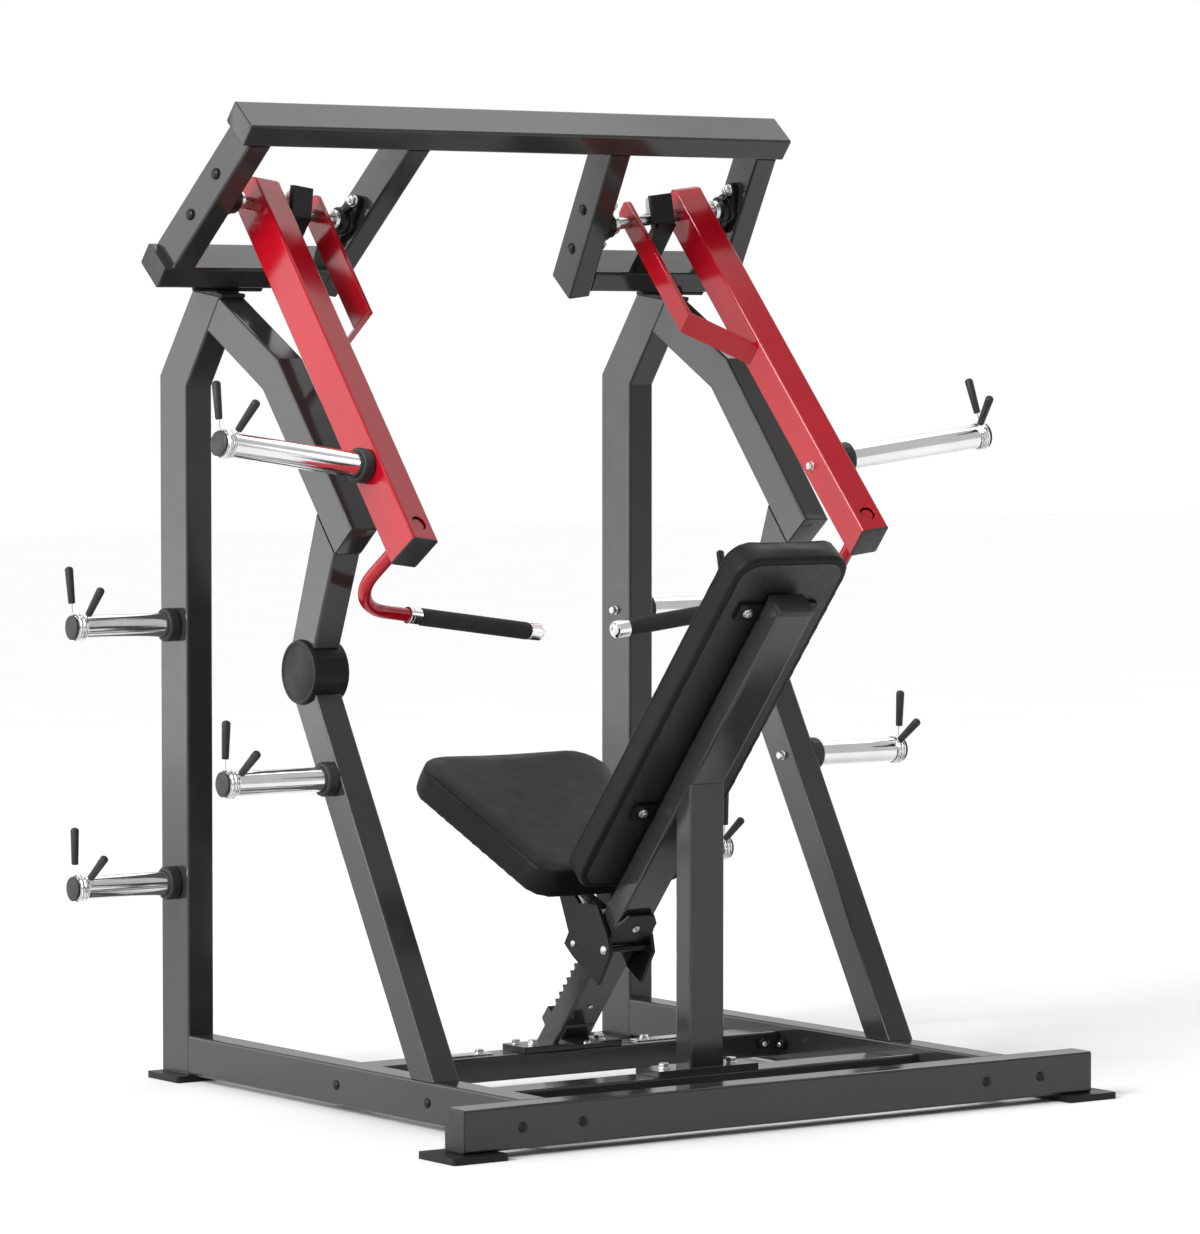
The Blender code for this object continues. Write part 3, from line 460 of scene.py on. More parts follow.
def add_hex(bm, point, axis, flats, height, washer=0.0, turn=0.0):
    """Adds a hex head with a chamfered crown, on a washer where one is asked for."""
    u_dir, v_dir = across(axis)
    u_turned = u_dir * cos(turn) + v_dir * sin(turn)
    v_turned = axis.cross(u_turned)
    corner = flats / 2 / cos(pi / 6)
    start = 0.0
    if washer:
        start = WASHER_THICK
        rim = [(0, washer), (WASHER_THICK - 0.0004, washer), (WASHER_THICK, washer - 0.0004)]
        add_turned(bm, point, axis, rim, sides=32)
    profile = [(start, corner), (start + height * 0.82, corner), (start + height, corner * 0.84)]
    rings = [add_ring(bm, point + axis * at, u_turned, v_turned, circle(r, 6)) for at, r in profile]
    bridge(bm, rings[0], rings[1])
    bridge(bm, rings[1], rings[2])
    bm.faces.new(rings[0])
    bm.faces.new(rings[2])


def add_dome(bm, point, axis, radius, height):
    """Adds a low domed cover over a bolt head."""
    profile = [(0, radius), (height * 0.35, radius)]
    for angle in (0.35, 0.75, 1.15, 1.45):
        profile.append((height * (0.35 + 0.65 * sin(angle)), radius * cos(angle) * 0.94 + 0.0004))
    add_turned(bm, point, axis, profile, sides=28)


def add_ring_bolt(bm, point, axis, radius=0.008):
    """Adds a socket-head button: a rim round a sunk middle."""
    rim = [(0, radius), (0.003, radius), (0.0045, radius - 0.002)]
    add_sleeve(bm, point, axis, rim, radius * 0.45, sides=28)
    add_turned(bm, point, axis, [(0, radius * 0.46), (0.0015, radius * 0.46)], sides=6)


def group(name, body, made_of, adder, items):
    """One piece that holds many small fasteners of the same kind."""
    bm = bmesh.new()
    for item in items:
        adder(bm, *item)
    return finish_piece(name, bm, made_of, body)


def base_domes():
    """Places, directions and sizes of the domed bolts on the base and the posts."""
    domes = []
    for s in (1, -1):
        domes += [(side_point(x * s, 0, BASE_BOLT_Z), -EY, *BASE_DOME) for x in (0.476, 0.610)]
    for s in (1, -1):
        for along in (0.370, 0.686):
            domes.append((side_point(s * RAIL_OUT, along, BASE_BOLT_Z), EX * s, *BASE_DOME))
    for s in (1, -1):
        turn = Vector((s, 1, 1))
        for t in (FLANGE_BOLT_OUT, -FLANGE_BOLT_OUT):
            for at, way in ((0.0, -1), (SHAFT_REACH, 1)):
                point = (SHAFT_0 + SHAFT_DIR * at + POST_DOWN * t) * turn
                domes.append((point, SHAFT_DIR * turn * way, *POST_DOME))
    return domes


def base_nuts():
    """Places, directions and sizes of the nuts inside the base."""
    nuts = []
    for s in (1, -1):
        for along in (0.690, 0.804):
            nuts.append((side_point(s * RAIL_IN, along, BASE_BOLT_Z), EX * -s, *RAIL_NUT))
        nuts.append((side_point(s * 0.463, 0.707, 0.056), -EY, *BEAM_NUT))
        for along in (0.247, 0.343):
            nuts.append((side_point(s * RAIL_IN, along, BASE_BOLT_Z), EX * -s, *RAIL_NUT))
        nuts.append((side_point(s * 0.476, 0.062, BASE_BOLT_Z), EY, *BEAM_NUT))
    return nuts


def frame_fasteners():
    """Bolts and nuts of the base, the posts and the plates, and the two bright strips."""
    group("black_bolt_domes", "frame", BLACK_PAINT, add_dome, base_domes())
    nuts = base_nuts()
    group("rail_nuts", "frame", BLACK_PAINT, add_hex, nuts)
    ends = [(nut[0] + nut[1] * (WASHER_THICK + nut[3]), nut[1], 0.0052) for nut in nuts]
    group("bolt_ends", "frame", ZINC, add_ring_bolt, ends)
    plates = []
    for s in (1, -1):
        for along in (0.295, 0.735):
            plates.append((side_point(s * 0.080, along, 0.090), EZ, 0.019, 0.008, 0.0125, 0.4))
        plates.append((side_point(s * 0.100, 0.765, 0.090), EZ, 0.015, 0.007, 0.010, 0.2))
        for x in (0.200, 0.300):
            plates.append((side_point(s * x, STRIP_ALONG, 0.081), EZ, 0.015, 0.006, 0.010))
    group("plate_bolts", "frame", ZINC, add_hex, plates)
    strip = bmesh.new()
    for s in (1, -1):
        outline = rounded_rectangle(0.150, 0.034, 0.005)
        add_prism(strip, outline, side_point(s * 0.250, STRIP_ALONG, 0.078), EX, EY, EZ, 0.0004, 0.003)
    finish_piece("beam_strips", strip, ZINC, "frame", bevel=0.0006)


def horn_bolts():
    """The bright bolt that holds each horn, on the inner face of its tube."""
    flats = 0.0145
    items = []
    for s in (1, -1):
        for along, height in ((1.2845, 0.914), (1.2845, 0.396), (0.700, 0.641)):
            items.append((side_point(s * RAIL_IN, along, height), EX * -s, flats, 0.0095, 0.0095))
    group("horn_bolts", "frame", ZINC, add_hex, items)
    arm = bmesh.new()
    add_hex(arm, arm_point(0.2355, 0.672, -0.005), -SHAFT_DIR, flats, 0.0085, 0.0095)
    both(finish_piece("arm_horn_bolt", arm, ZINC, "right_arm"), "right_arm")


# ---------------------------------------------------------------- tube ends

# Outside width and depth of each capped tube
BASE_TUBE = (0.062, 0.0797)
TOP_TUBE = (0.080, 0.050)
POST_TUBE = (0.050, 0.080)
LEG_TUBE = (0.0596, 0.0796)
ARM_TUBE = (0.061, 0.080)
SEAT_TUBE_CAP = (0.0812, 0.0512)
# How far pressed-in plugs and welded lids stand out
PLUG_THICK = 0.0035
LID_THICK = 0.0022
LEG_LID_THICK = 0.0012
SEAT_PLUG_THICK = 0.005
LEG_MIDDLE = (RAIL_IN + RAIL_OUT) / 2
LEG_TOP = (0.894, 1.446)
LEG_ELBOW = (0.627, 1.123)
LEG_ELBOW_UNDER = (0.688, 1.072)


def add_cap(bm, centre, u_dir, v_dir, out_dir, wide, deep, thick, corner=0.0045):
    """Adds a pressed-in cap that stands a little proud of a tube's end."""
    steps = [(0.0004, 0.0), (thick - 0.0012, 0.0), (thick - 0.0003, 0.0012), (thick, 0.0028)]
    rings = []
    for out, shrink in steps:
        outline = rounded_rectangle(wide - 2 * shrink, deep - 2 * shrink, corner, steps=3)
        rings.append(add_ring(bm, centre + out_dir * out, u_dir, v_dir, outline))
    for first, second in zip(rings, rings[1:]):
        bridge(bm, first, second)
    bm.faces.new(rings[0])
    bm.faces.new(rings[-1])


def tube_caps():
    """Black caps in the open tube ends, and closed grey ends on the top beam and inner posts."""
    black = bmesh.new()
    grey = bmesh.new()
    beam_low, beam_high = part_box("rear_cross_beam")
    middle = (beam_low + beam_high) / 2
    top_end = span("top_beam", EX)[1]
    top_a, top_b = span("top_beam", EA), span("top_beam", EB)
    top_centre = EA * (sum(top_a) / 2) + EB * (sum(top_b) / 2)
    cross_a, cross_b = span("right_lower_cross_tube", EA), span("right_lower_cross_tube", EB)
    cross_centre = EA * (sum(cross_a) / 2) + EB * (sum(cross_b) / 2)
    cross_end = span("right_lower_cross_tube", EX)[1]
    post_end = span("right_inner_post", POST_DOWN)[1]
    post_a = sum(span("right_inner_post", EA)) / 2
    for s in (1, -1):
        flip = Vector((s, 1, 1))
        add_cap(black, Vector((s * beam_high.x, middle.y, middle.z)), EY, EZ, EX * s, *BASE_TUBE, PLUG_THICK)
        add_cap(grey, top_centre + EX * s * top_end, EA, EB, EX * s, *TOP_TUBE, LID_THICK)
        add_cap(black, cross_centre + EX * s * cross_end, EA, EB, EX * s, *TOP_TUBE, PLUG_THICK)
        end = SHAFT_DIR * (SHAFT_0.dot(SHAFT_DIR) + 0.025) + POST_DOWN * post_end + EA * post_a
        add_cap(grey, end * flip, SHAFT_DIR * flip, EA, POST_DOWN * flip, *POST_TUBE, LID_THICK)
    leg_way = (side_point(0, *LEG_ELBOW) - side_point(0, *LEG_TOP)).normalized()
    leg_end = span("right_leg_upper", leg_way)[1]
    leg_mid = (side_point(0, *LEG_ELBOW) + side_point(0, *LEG_ELBOW_UNDER)) / 2
    leg_mid += leg_way * (leg_end - leg_mid.dot(leg_way))
    for s in (1, -1):
        leg_foot = leg_mid + EX * s * LEG_MIDDLE
        add_cap(grey, leg_foot, EX, leg_way.cross(EX), leg_way, *LEG_TUBE, LEG_LID_THICK)
    tube_top = span("seat_tube", TUBE_UP)[1] - SEAT_0.dot(TUBE_UP)
    tube_end = seat_point(0, tube_top, -0.025)
    skirt = rounded_rectangle(*SEAT_TUBE_CAP, 0.005)
    add_prism(black, skirt, tube_end, EX, TUBE_REAR, TUBE_UP, -0.006, 0.0005)
    add_cap(black, tube_end, EX, TUBE_REAR, TUBE_UP, *SEAT_TUBE_CAP, SEAT_PLUG_THICK, 0.005)
    finish_piece("black_end_caps", black, PLASTIC, "frame")
    finish_piece("closed_tube_ends", grey, FRAME_PAINT, "frame")
    arm = bmesh.new()
    end_d = span("right_arm_tube", ARM_D)[1] - SHAFT_0.dot(ARM_D)
    add_cap(arm, arm_point(HANDLE_S, end_d, 0), SHAFT_DIR, ARM_N, ARM_D, *ARM_TUBE, PLUG_THICK)
    both(finish_piece("arm_end_cap", arm, PLASTIC, "right_arm"), "right_arm")


# ---------------------------------------------------------------- horns

HORN_SPRINGS = {
    "upright_horn_high": ("frame", (-9, 44)),
    "upright_horn_low": ("frame", (0, 52)),
    "leg_horn": ("frame", (3, 54)),
    "arm_horn": ("right_arm", (-16, 41)),
}
WIRE_R = 0.0016
WIRE_REACH = (0.005, 0.014, 0.022, 0.030)
COIL_R = 0.0262
COIL_LONG = 0.019
COIL_TURNS = 5
COIL_STEPS = 150
GRIP_LONG = 0.074
GRIP_R = 0.0085
GRIP_NOSE = 0.007


def horn(node, body, angles):
    """A chrome sleeve with a rubber collar, an end cap and a spring collar near its tip."""
    right = "right_" + node
    axis = SHAFT_DIR if node == "arm_horn" else EX
    low, high = span(right, axis)
    vertices = NODES[right].data.vertices
    middle = sum((vertex.co for vertex in vertices), Vector()) / len(vertices)
    base = middle + axis * (low - middle.dot(axis))
    length = high - low
    sleeve = bmesh.new()
    add_sleeve(sleeve, base, axis, [(0.020, 0.0238), (0.0215, 0.0240), (length - 0.0068, 0.0240)], 0.020)
    pieces = [finish_piece(node + "_sleeve", sleeve, CHROME, body)]
    collar = bmesh.new()
    outer = [(0.0003, 0.0320), (0.0030, 0.0335), (0.0210, 0.0335), (0.0243, 0.0318)]
    outer += [(0.0251, 0.0290), (0.0251, 0.0262)]
    add_sleeve(collar, base, axis, outer, 0.0245, sides=16)
    pieces.append(finish_piece(node + "_collar", collar, RUBBER, body, smooth=20.0, bevel=0.0012))
    cap = bmesh.new()
    rim = [(length - 0.012, 0.0195), (length - 0.0066, 0.0195)]
    rim += [(length - 0.0066, 0.0242), (length - 0.002, 0.0242)]
    crown = [(length - 0.002 + 0.0022 * sin(a), 0.0232 * cos(a) + 0.0008) for a in (0.3, 0.7, 1.1, 1.4)]
    add_turned(cap, base, axis, rim + crown)
    pieces.append(finish_piece(node + "_cap", cap, PLASTIC, body))
    spring, grips = spring_collar(node, body, base + axis * (length - 0.0270), axis, angles)
    for piece in (*pieces, spring, grips):
        pair = both(piece, body)
        if piece is pieces[0]:
            both_replace(pair, node)


def spring_collar(node, body, start, axis, angles):
    """A coil of round wire gripping the sleeve, with two wire ends bent out into plastic grips."""
    up = (EZ - axis * EZ.dot(axis)).normalized()
    back = axis.cross(up)
    back = back if back.y < 0 else -back

    def heading(angle):
        return up * cos(angle) + back * sin(angle)

    first, second = (radians(angle) for angle in angles)
    turn = COIL_TURNS * tau + first - second
    points = []
    for step in range(COIL_STEPS + 1):
        share = step / COIL_STEPS
        points.append(start + axis * (COIL_LONG * share) + heading(second + turn * share) * COIL_R)
    path_in = [points[0] + heading(second) * out for out in reversed(WIRE_REACH)]
    path_out = [points[-1] + heading(first) * out for out in WIRE_REACH]
    wire = bmesh.new()
    add_tube_path(wire, path_in + points + path_out, WIRE_R, sides=8)
    spring = finish_piece(node + "_spring", wire, CHROME, body)
    grips = bmesh.new()
    for foot, angle, from_coil in ((points[0], second, 0.010), (points[-1], first, 0.022)):
        tip = from_coil + GRIP_LONG - GRIP_NOSE
        profile = [(from_coil, 0.0058), (from_coil + 0.0015, 0.0070), (tip, GRIP_R)]
        profile += [(tip + GRIP_NOSE * sin(a), GRIP_R * cos(a) + 0.0003) for a in (0.4, 0.8, 1.2, 1.5)]
        add_turned(grips, foot, heading(angle), profile, sides=20)
    return spring, finish_piece(node + "_spring_grips", grips, RUBBER, body)


# ---------------------------------------------------------------- arms


BEND_STEPS = 16
GRIP_RING_AT = 0.111
GRIP_FOAM_AT = 0.0815
GRIP_FOAM_LONG = 0.279
GRIP_END_AT = -0.1982


def handle():
    """Red bent bar, chrome rings and a foam grip."""
    straight = (0.036, 0.0, -0.060, HANDLE_N + HANDLE_BEND + 0.004)
    points = [arm_point(HANDLE_S, HANDLE_D, n) for n in straight]
    for step in range(1, BEND_STEPS + 1):
        angle = -step / BEND_STEPS * pi / 2
        s = HANDLE_S - HANDLE_BEND + HANDLE_BEND * cos(angle)
        points.append(arm_point(s, HANDLE_D, HANDLE_N + HANDLE_BEND + HANDLE_BEND * sin(angle)))
    points += [arm_point(s, HANDLE_D, HANDLE_N) for s in (0.140, 0.100)]
    bar = bmesh.new()
    add_tube_path(bar, points, HANDLE_R, sides=28)
    body = "right_arm"
    both_replace(both(finish_piece("handle_tube", bar, RED_PAINT, body), body), "handle_bar")
    way = -SHAFT_DIR
    ring = bmesh.new()
    outer = [(0, 0.0158), (0.0008, 0.0167), (0.0060, 0.0167), (0.0064, 0.0163)]
    outer += [(0.0078, 0.0163), (0.0082, 0.0167), (0.0279, 0.0167), (0.0285, 0.0160)]
    add_sleeve(ring, arm_point(GRIP_RING_AT, HANDLE_D, HANDLE_N), way, outer, 0.0132)
    both(finish_piece("grip_ring", ring, CHROME, body), body)
    grip = bmesh.new()
    long = GRIP_FOAM_LONG
    outer = [(0, 0.0150), (0.0015, 0.0166), (0.004, 0.0172)]
    outer += [(long - 0.004, 0.0172), (long - 0.0015, 0.0166), (long, 0.0150)]
    add_sleeve(grip, arm_point(GRIP_FOAM_AT, HANDLE_D, HANDLE_N), way, outer, 0.0120)
    both_replace(both(finish_piece("grip_foam", grip, FOAM, body), body), "grip")
    end = bmesh.new()
    outer = [(0, 0.0165), (0.001, 0.0174), (0.0250, 0.0174), (0.0305, 0.0166)]
    outer += [(0.0335, 0.0140), (0.0347, 0.0100), (0.0340, 0.0062), (0.0325, 0.0060)]
    add_turned(end, arm_point(GRIP_END_AT, HANDLE_D, HANDLE_N), way, outer)
    both(finish_piece("grip_end", end, CHROME, body), body)


def shaft_details():
    """Locking collars, bearing inserts, cast bosses and ribs, nuts and grease nipples at each bearing."""
    collar = bmesh.new()
    insert = bmesh.new()
    cast = bmesh.new()
    nuts = bmesh.new()
    ring = [(0, 0.0185), (0.0012, 0.0198), (0.0118, 0.0198), (0.013, 0.0185)]
    rib = [(0.022, 0.0116), (0.043, 0.0116), (0.0265, 0.0235)]
    boss = [(0, 0.0130), (0.0022, 0.0130), (0.0032, 0.0120)]
    thread_end = [(0, 0.0050), (0.0045, 0.0050), (0.0055, 0.0040)]
    set_screw = [(0, 0.0030), (0.0022, 0.0030), (0.0026, 0.0022)]
    grease_tip = [(0, 0.0030), (0.005, 0.0030), (0.007, 0.0018)]
    for at, way in ((0.050, 1), (0.3635, -1)):
        axis = SHAFT_DIR * way
        face = SHAFT_0 + SHAFT_DIR * at
        add_sleeve(collar, face + axis * 0.0292, axis, ring, SHAFT_R + 0.0003)
        add_sleeve(insert, face + axis * 0.0272, axis, [(0, 0.0232), (0.0018, 0.0226)], SHAFT_R + 0.0006)
        add_sleeve(cast, face + axis * 0.0118, axis, [(0, 0.0312), (0.0030, 0.0300)], 0.0262)
        for side in (1, -1):
            bolt = face + POST_DOWN * side * FLANGE_BOLT_OUT
            add_turned(cast, bolt + axis * 0.0115, axis, boss, sides=32)
            add_prism(cast, rib, face, POST_DOWN * side, axis, EA, -0.0030, 0.0030)
            add_hex(nuts, bolt + axis * 0.0147, axis, 0.018, 0.0095, 0.0118)
            add_turned(nuts, bolt + axis * 0.0255, axis, thread_end, sides=20)
        for turn in (0.6, 2.4):
            out = EA * cos(turn) + POST_DOWN * sin(turn)
            add_turned(nuts, face + axis * 0.0357 + out * 0.0190, out, set_screw, sides=12)
        nipple = (EA * -0.8 + POST_DOWN * 0.6).normalized()
        add_turned(nuts, face + axis * 0.0190 + nipple * 0.0265, nipple, grease_tip, sides=12)
    both(finish_piece("shaft_collars", collar, ZINC, "right_arm"), "right_arm")
    both(finish_piece("bearing_inserts", insert, ZINC, "frame"), "frame")
    both(finish_piece("bearing_castings", cast, BLACK_PAINT, "frame", bevel=0.0009), "frame")
    both(finish_piece("flange_nuts", nuts, ZINC, "frame"), "frame")


# ---------------------------------------------------------------- cushions


def outline_normals(outline):
    """Outward unit vectors at the points of a closed outline that runs anticlockwise or clockwise."""
    area = sum(a[0] * b[1] - a[1] * b[0] for a, b in zip(outline, outline[1:] + outline[:1]))
    turn = 1 if area > 0 else -1
    normals = []
    for i in range(len(outline)):
        before = Vector(outline[i - 1])
        after = Vector(outline[(i + 1) % len(outline)])
        run = (after - before).normalized()
        normals.append(Vector((run.y, -run.x)) * turn)
    return normals


def resampled(outline, spacing):
    """The same closed outline with evenly spaced points."""
    points = [Vector(p) for p in outline]
    made = []
    carry = 0.0
    for first, second in zip(points, points[1:] + points[:1]):
        run = (second - first).length
        at = carry
        while at < run:
            made.append(tuple(first.lerp(second, at / run)))
            at += spacing
        carry = at - run
    return made


# Pad making
PAD_INSET = 0.002
PAD_EDGE = 0.004
PAD_SWELL = 0.005
VOXEL = 0.005
BOARD_ZONE = 0.010
CLOTH_STEPS = 20
EVEN_PASSES = 14
OUTLINE_STEP = 0.006
WELT_R = 0.0011
WELT_IN = 0.004
BACK_THICK = 0.057
BACK_MID = 0.278
SEAT_THICK = 0.0585
SEAT_MID = 0.215
SEAT_BOARD = 0.93


def cushion(name, node, body, outline, centre, u_dir, v_dir, out_dir, thick):
    """A foam pad: its closed form is filled by cloth pressure while its board side stays flat."""
    bm = bmesh.new()
    waist = PAD_INSET
    steps = [(0.0, PAD_EDGE), (PAD_EDGE, waist), (thick - PAD_EDGE, waist), (thick, PAD_EDGE + waist)]
    normals = outline_normals(outline)
    rings = []
    for out, shrink in steps:
        ring = [(u - w.x * shrink, v - w.y * shrink) for (u, v), w in zip(outline, normals)]
        rings.append(add_ring(bm, centre + out_dir * out, u_dir, v_dir, ring))
    for first, second in zip(rings, rings[1:]):
        bridge(bm, first, second)
    bm.faces.new(rings[0])
    bm.faces.new(rings[-1])
    piece = finish_piece(name, bm, VINYL, body)
    piece.parent = None
    bpy.context.view_layer.objects.active = piece
    remesh = piece.modifiers.new("remesh", "REMESH")
    remesh.mode = "VOXEL"
    remesh.voxel_size = VOXEL
    freeze(piece)
    swell(piece, centre, out_dir)
    piece.modifiers.new("smooth", "SUBSURF").levels = 1
    piece.modifiers["smooth"].render_levels = 1
    freeze(piece)
    piece.data.shade_smooth()
    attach(piece, body)
    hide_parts(node)
    return piece


def freeze(piece):
    """Applies a piece's modifiers to its mesh."""
    graph = bpy.context.evaluated_depsgraph_get()
    result = bpy.data.meshes.new_from_object(piece.evaluated_get(graph))
    piece.modifiers.clear()
    piece.data = result


def swell(piece, centre, out_dir):
    """Blows the pad up with cloth pressure, holding its board side and limiting how far a point moves."""
    rest = [vertex.co.copy() for vertex in piece.data.vertices]
    pinned = piece.vertex_groups.new(name="board")
    held = [v.index for v in piece.data.vertices if (v.co - centre).dot(out_dir) < BOARD_ZONE]
    pinned.add(held, 1.0, "REPLACE")
    cloth = piece.modifiers.new("cloth", "CLOTH")
    cloth.settings.vertex_group_mass = "board"
    cloth.settings.use_pressure = True
    cloth.settings.uniform_pressure_force = 4.0
    cloth.settings.effector_weights.gravity = 0.0
    cloth.settings.quality = 5
    cloth.settings.tension_stiffness = 40.0
    cloth.settings.compression_stiffness = 40.0
    cloth.settings.bending_stiffness = 8.0
    cloth.collision_settings.use_collision = False
    scene = bpy.context.scene
    for step in range(1, CLOTH_STEPS + 1):
        scene.frame_set(step)
    freeze(piece)
    scene.frame_set(1)
    moves = [vertex.co - start for vertex, start in zip(piece.data.vertices, rest)]
    moves = [move * min(1.0, PAD_SWELL / max(move.length, 1e-9)) for move in moves]
    joined = [[] for vertex in rest]
    for edge in piece.data.edges:
        first, second = edge.vertices
        joined[first].append(second)
        joined[second].append(first)
    for _ in range(EVEN_PASSES):
        sums = [sum((moves[i] for i in near), move) for move, near in zip(moves, joined)]
        moves = [total / (len(near) + 1) for total, near in zip(sums, joined)]
    for vertex, start, move in zip(piece.data.vertices, rest, moves):
        vertex.co = start + move


def seam(name, body, piece, outline, centre, u_dir, v_dir, out_dir, thick):
    """A raised welt that lies on the pad where its face panel meets its side band."""
    graph = bpy.context.evaluated_depsgraph_get()
    tree = BVHTree.FromObject(piece, graph)
    normals = outline_normals(outline)
    points = []
    for (u, v), w in zip(outline, normals):
        out = u_dir * w.x + v_dir * w.y
        aim = centre + u_dir * u + v_dir * v - out * WELT_IN + out_dir * (thick - WELT_IN)
        way = (out + out_dir).normalized()
        hit = tree.ray_cast(aim + way * 0.08, -way)[0]
        if hit is not None:
            points.append(hit - way * 0.0002)
    bm = bmesh.new()
    add_tube_path(bm, points, WELT_R, sides=8, closed=True)
    return finish_piece(name, bm, VINYL, body)


def seat_outline():
    """The seat from above: wide at the front, with rounded corners."""
    right = []
    for x0, y0, r0, start, end in ((0.225, 0.0, 0.075, 90, 0), (0.168, 0.430, 0.055, 0, -90)):
        for step in range(9):
            a = radians(start + (end - start) * step / 8)
            y = y0 + r0 - r0 * sin(a) if start == 90 else y0 - r0 - r0 * sin(a)
            right.append((x0 - r0 + r0 * cos(a), y))
    return right + [(-u, v) for u, v in reversed(right)]


def pads():
    """Back pad and seat pad, each with a welt and a board behind it."""
    centre = seat_point(0, BACK_MID, -0.0600)
    outline = resampled(rounded_rectangle(0.268, 0.860, 0.050, steps=10), OUTLINE_STEP)
    place = (outline, centre, EX, TUBE_UP, -TUBE_REAR, BACK_THICK)
    back = cushion("back_cushion", "back_pad", "frame", *place)
    seam("back_welt", "frame", back, *place)
    board = bmesh.new()
    board_outline = rounded_rectangle(0.236, 0.828, 0.040, steps=8)
    add_prism(board, board_outline, seat_point(0, BACK_MID, 0), EX, TUBE_UP, TUBE_REAR, -0.0605, -0.0586)
    finish_piece("back_board", board, PLASTIC, "frame", bevel=0.0006)
    top = side_point(0, 0.958, 0.657)
    outline = resampled(seat_outline(), OUTLINE_STEP)
    place = (outline, top - SEAT_UP * SEAT_THICK, EX, SEAT_BACKWARD, SEAT_UP, SEAT_THICK)
    seat = cushion("seat_cushion", "seat_pad", "seat", *place)
    seam("seat_welt", "seat", seat, *place)
    board = bmesh.new()
    shrunk = [(u * SEAT_BOARD, SEAT_MID + (v - SEAT_MID) * SEAT_BOARD) for u, v in seat_outline()]
    add_prism(board, shrunk, top - SEAT_UP * 0.060, EX, SEAT_BACKWARD, SEAT_UP, 0.0002, 0.002)
    finish_piece("seat_board", board, PLASTIC, "seat", bevel=0.0006)


def pad_fasteners():
    """Bolts that hold the pad brackets and the seat, and the guide bolts of the carriage."""
    items = []
    for s in (1, -1):
        for t in (0.581, 0.062):
            items.append((seat_point(s * 0.068, t, -0.0500), TUBE_REAR, 0.013, 0.006, 0.0100))
    group("bracket_bolts", "frame", ZINC, add_hex, items)
    carriage = []
    for s in (1, -1):
        carriage.append((seat_point(s * 0.055, -0.2455, 0.016), EX * s, 0.0095, 0.006))
        carriage.append((seat_point(s * 0.055, -0.309, -0.066), EX * s, 0.0070, 0.005))
    group("carriage_bolts", "seat", ZINC, add_dome, carriage)
    group("carriage_button", "seat", ZINC, add_ring_bolt, [(seat_point(0, -0.196, 0.011), TUBE_REAR)])


def foot_strap():
    """The bent strap at the seat tube's foot, with a button bolt on it and one on the tube above."""
    bm = bmesh.new()
    rear = seat_point(0, 0, 0)

    def up_tube(z, out):
        point = rear + TUBE_UP * ((z - rear.z) / TUBE_UP.z) + TUBE_REAR * out
        return point.y, point.z

    plate_top = 0.0902
    tail = 0.654 - MID_ALONG
    outline = [up_tube(0.130, 0.0003), up_tube(0.128, 0.0045), up_tube(0.1035, 0.0045)]
    outline += [(tail, plate_top + 0.0042), (tail, plate_top), up_tube(plate_top, 0.0003)]
    add_prism(bm, outline, Vector(), EY, EZ, EX, -0.034, 0.034)
    finish_piece("foot_strap", bm, FRAME_PAINT, "frame", bevel=0.0008)
    items = [(side_point(0, 0.664, plate_top + 0.0042), EZ, 0.0075)]
    items.append((seat_point(0, -0.423, 0.0002), TUBE_REAR, 0.0050))
    group("foot_buttons", "frame", ZINC, add_ring_bolt, items)


def soften(node, width, segments=3):
    """Rounds a CAD node's corners without touching its mesh."""
    edge = NODES[node].modifiers.new("edges", "BEVEL")
    edge.width = width
    edge.segments = segments
    edge.limit_method = "ANGLE"
    edge.angle_limit = radians(40)
    edge.harden_normals = True


def softened_nodes():
    for side in ("right_", "left_"):
        soften(side + "stop_post", 0.0065, 4)
        soften(side + "apex_plate", 0.0012)
        soften(side + "arm_brace", 0.0012)
        for bearing in ("inner_bearing", "outer_bearing"):
            soften(side + bearing, 0.0015)
    soften("seat_carriage", 0.0008, 2)
    soften("seat_latch", 0.0010, 2)


def disc_faces():
    """The raised rim and recessed face of each round disc."""
    low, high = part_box("right_pivot_disc")
    centre = (low + high) / 2
    bm = bmesh.new()
    rim = [(-0.003, 0.0624), (0.0008, 0.0612), (0.0016, 0.0595), (0.0016, 0.0560), (0.0006, 0.0545)]
    for way, edge in ((1, high.x), (-1, low.x)):
        base = Vector((edge, centre.y, centre.z))
        add_sleeve(bm, base, EX * way, rim, 0.0535)
        add_turned(bm, base, EX * way, [(-0.001, 0.0532), (0.0004, 0.0532), (0.0010, 0.0520)], sides=64)
    both(finish_piece("disc_rims", bm, BLACK_PAINT, "frame"), "frame")


# ---------------------------------------------------------------- studio

# Name, direction, angle in degrees and strength
SUNS = (
    ("key", (1.0, 0.10, -0.52), 35, 4.2),
    ("top", (-0.4, -0.5, -1.0), 60, 0.75),
    ("fill", (-1.0, -0.3, -0.4), 60, 0.6),
)
# Name, place, size and power
PANELS = (
    ("left_panel", (-6.5, 6.0, 2.6), 6.0, 210),
    ("right_panel", (8.0, -5.0, 3.0), 3.5, 60),
    ("top_panel", (0.5, 0.5, 6.0), 4.5, 60),
    ("rear_panel", (-2.0, -9.5, 4.2), 7.0, 50),
)
PANEL_AIM = Vector((0, 0, 1.0))
FLOOR_WIDE = 60
SENSOR_WIDE = 36.0
AIR_SOFT = 0.13
AIR_MIRRORED = 0.60


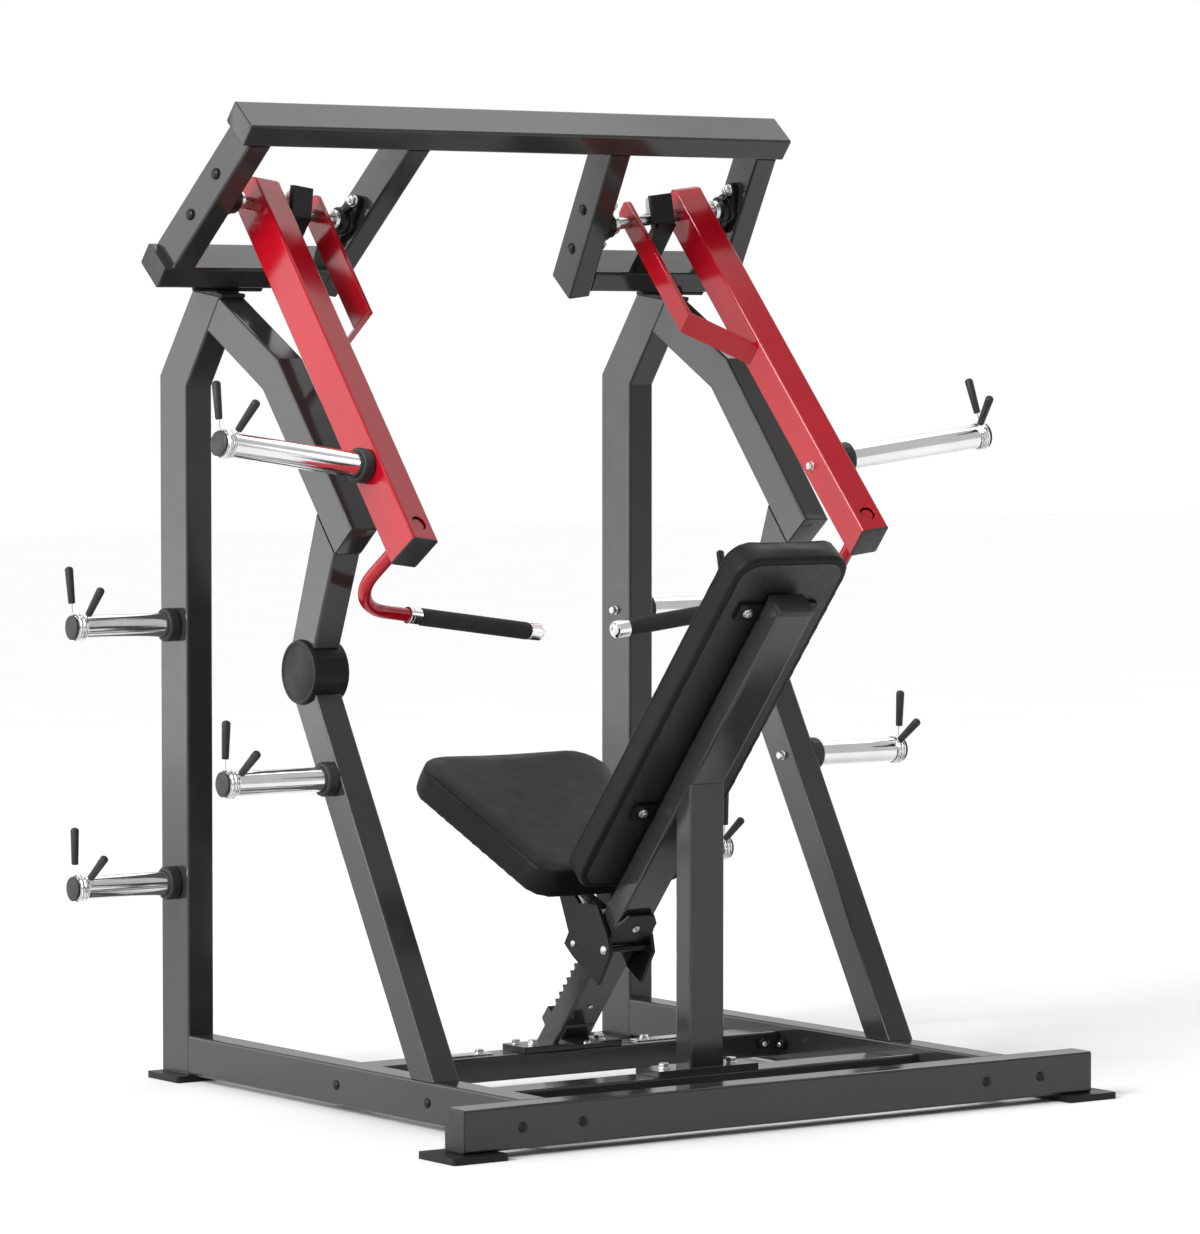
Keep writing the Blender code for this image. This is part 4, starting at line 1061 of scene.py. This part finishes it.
def studio_air():
    """Soft even air light, dimmer than the white that the camera sees behind the machine."""
    world = bpy.data.worlds.new("studio")
    world.use_nodes = True
    tree = world.node_tree
    shown = tree.nodes["Background"]
    shown.inputs["Color"].default_value = (1.0, 1.0, 1.0, 1)
    air = tree.nodes.new("ShaderNodeBackground")
    air.inputs["Color"].default_value = (0.98, 0.99, 1.0, 1)
    path = tree.nodes.new("ShaderNodeLightPath")
    glow = tree.nodes.new("ShaderNodeMapRange")
    glow.inputs["To Min"].default_value = AIR_SOFT
    glow.inputs["To Max"].default_value = AIR_MIRRORED
    tree.links.new(path.outputs["Is Glossy Ray"], glow.inputs["Value"])
    tree.links.new(glow.outputs["Result"], air.inputs["Strength"])
    mix = tree.nodes.new("ShaderNodeMixShader")
    tree.links.new(path.outputs["Is Camera Ray"], mix.inputs["Fac"])
    tree.links.new(air.outputs["Background"], mix.inputs[1])
    tree.links.new(shown.outputs["Background"], mix.inputs[2])
    tree.links.new(mix.outputs["Shader"], tree.nodes["World Output"].inputs["Surface"])
    return world


def studio():
    """Pale floor, soft lights and the camera."""
    bm = bmesh.new()
    outline = rounded_rectangle(FLOOR_WIDE, FLOOR_WIDE, 2.0)
    add_prism(bm, outline, Vector(), EX, EY, EZ, -0.02, -0.0002)
    mesh = bpy.data.meshes.new("floor")
    bmesh.ops.recalc_face_normals(bm, faces=bm.faces)
    bm.to_mesh(mesh)
    bm.free()
    mesh.materials.append(floor_material())
    floor = bpy.data.objects.new("floor", mesh)
    bpy.context.scene.collection.objects.link(floor)
    scene = bpy.context.scene
    scene.world = studio_air()
    for name, way, angle, strength in SUNS:
        lamp = bpy.data.lights.new(name, "SUN")
        lamp.angle = radians(angle)
        lamp.energy = strength
        light = bpy.data.objects.new(name, lamp)
        light.rotation_euler = Vector(way).to_track_quat("-Z", "Y").to_euler()
        scene.collection.objects.link(light)
    for name, place, size, power in PANELS:
        lamp = bpy.data.lights.new(name, "AREA")
        lamp.size = size
        lamp.energy = power
        light = bpy.data.objects.new(name, lamp)
        light.location = place
        light.rotation_euler = (PANEL_AIM - Vector(place)).to_track_quat("-Z", "Y").to_euler()
        scene.collection.objects.link(light)
    lens = bpy.data.cameras.new("camera")
    lens.lens = CAMERA_LENS
    lens.sensor_width = SENSOR_WIDE
    lens.clip_end = 200.0
    camera = bpy.data.objects.new("camera", lens)
    camera.location = CAMERA_PLACE
    camera.rotation_euler = (pi / 2 + CAMERA_PITCH, 0, CAMERA_YAW)
    scene.collection.objects.link(camera)
    scene.camera = camera
    scene.view_settings.view_transform = "Standard"


frame_fasteners()
horn_bolts()
tube_caps()
for horn_node, (horn_body, horn_angles) in HORN_SPRINGS.items():
    horn(horn_node, horn_body, horn_angles)
handle()
shaft_details()
pads()
pad_fasteners()
foot_strap()
softened_nodes()
disc_faces()
studio()
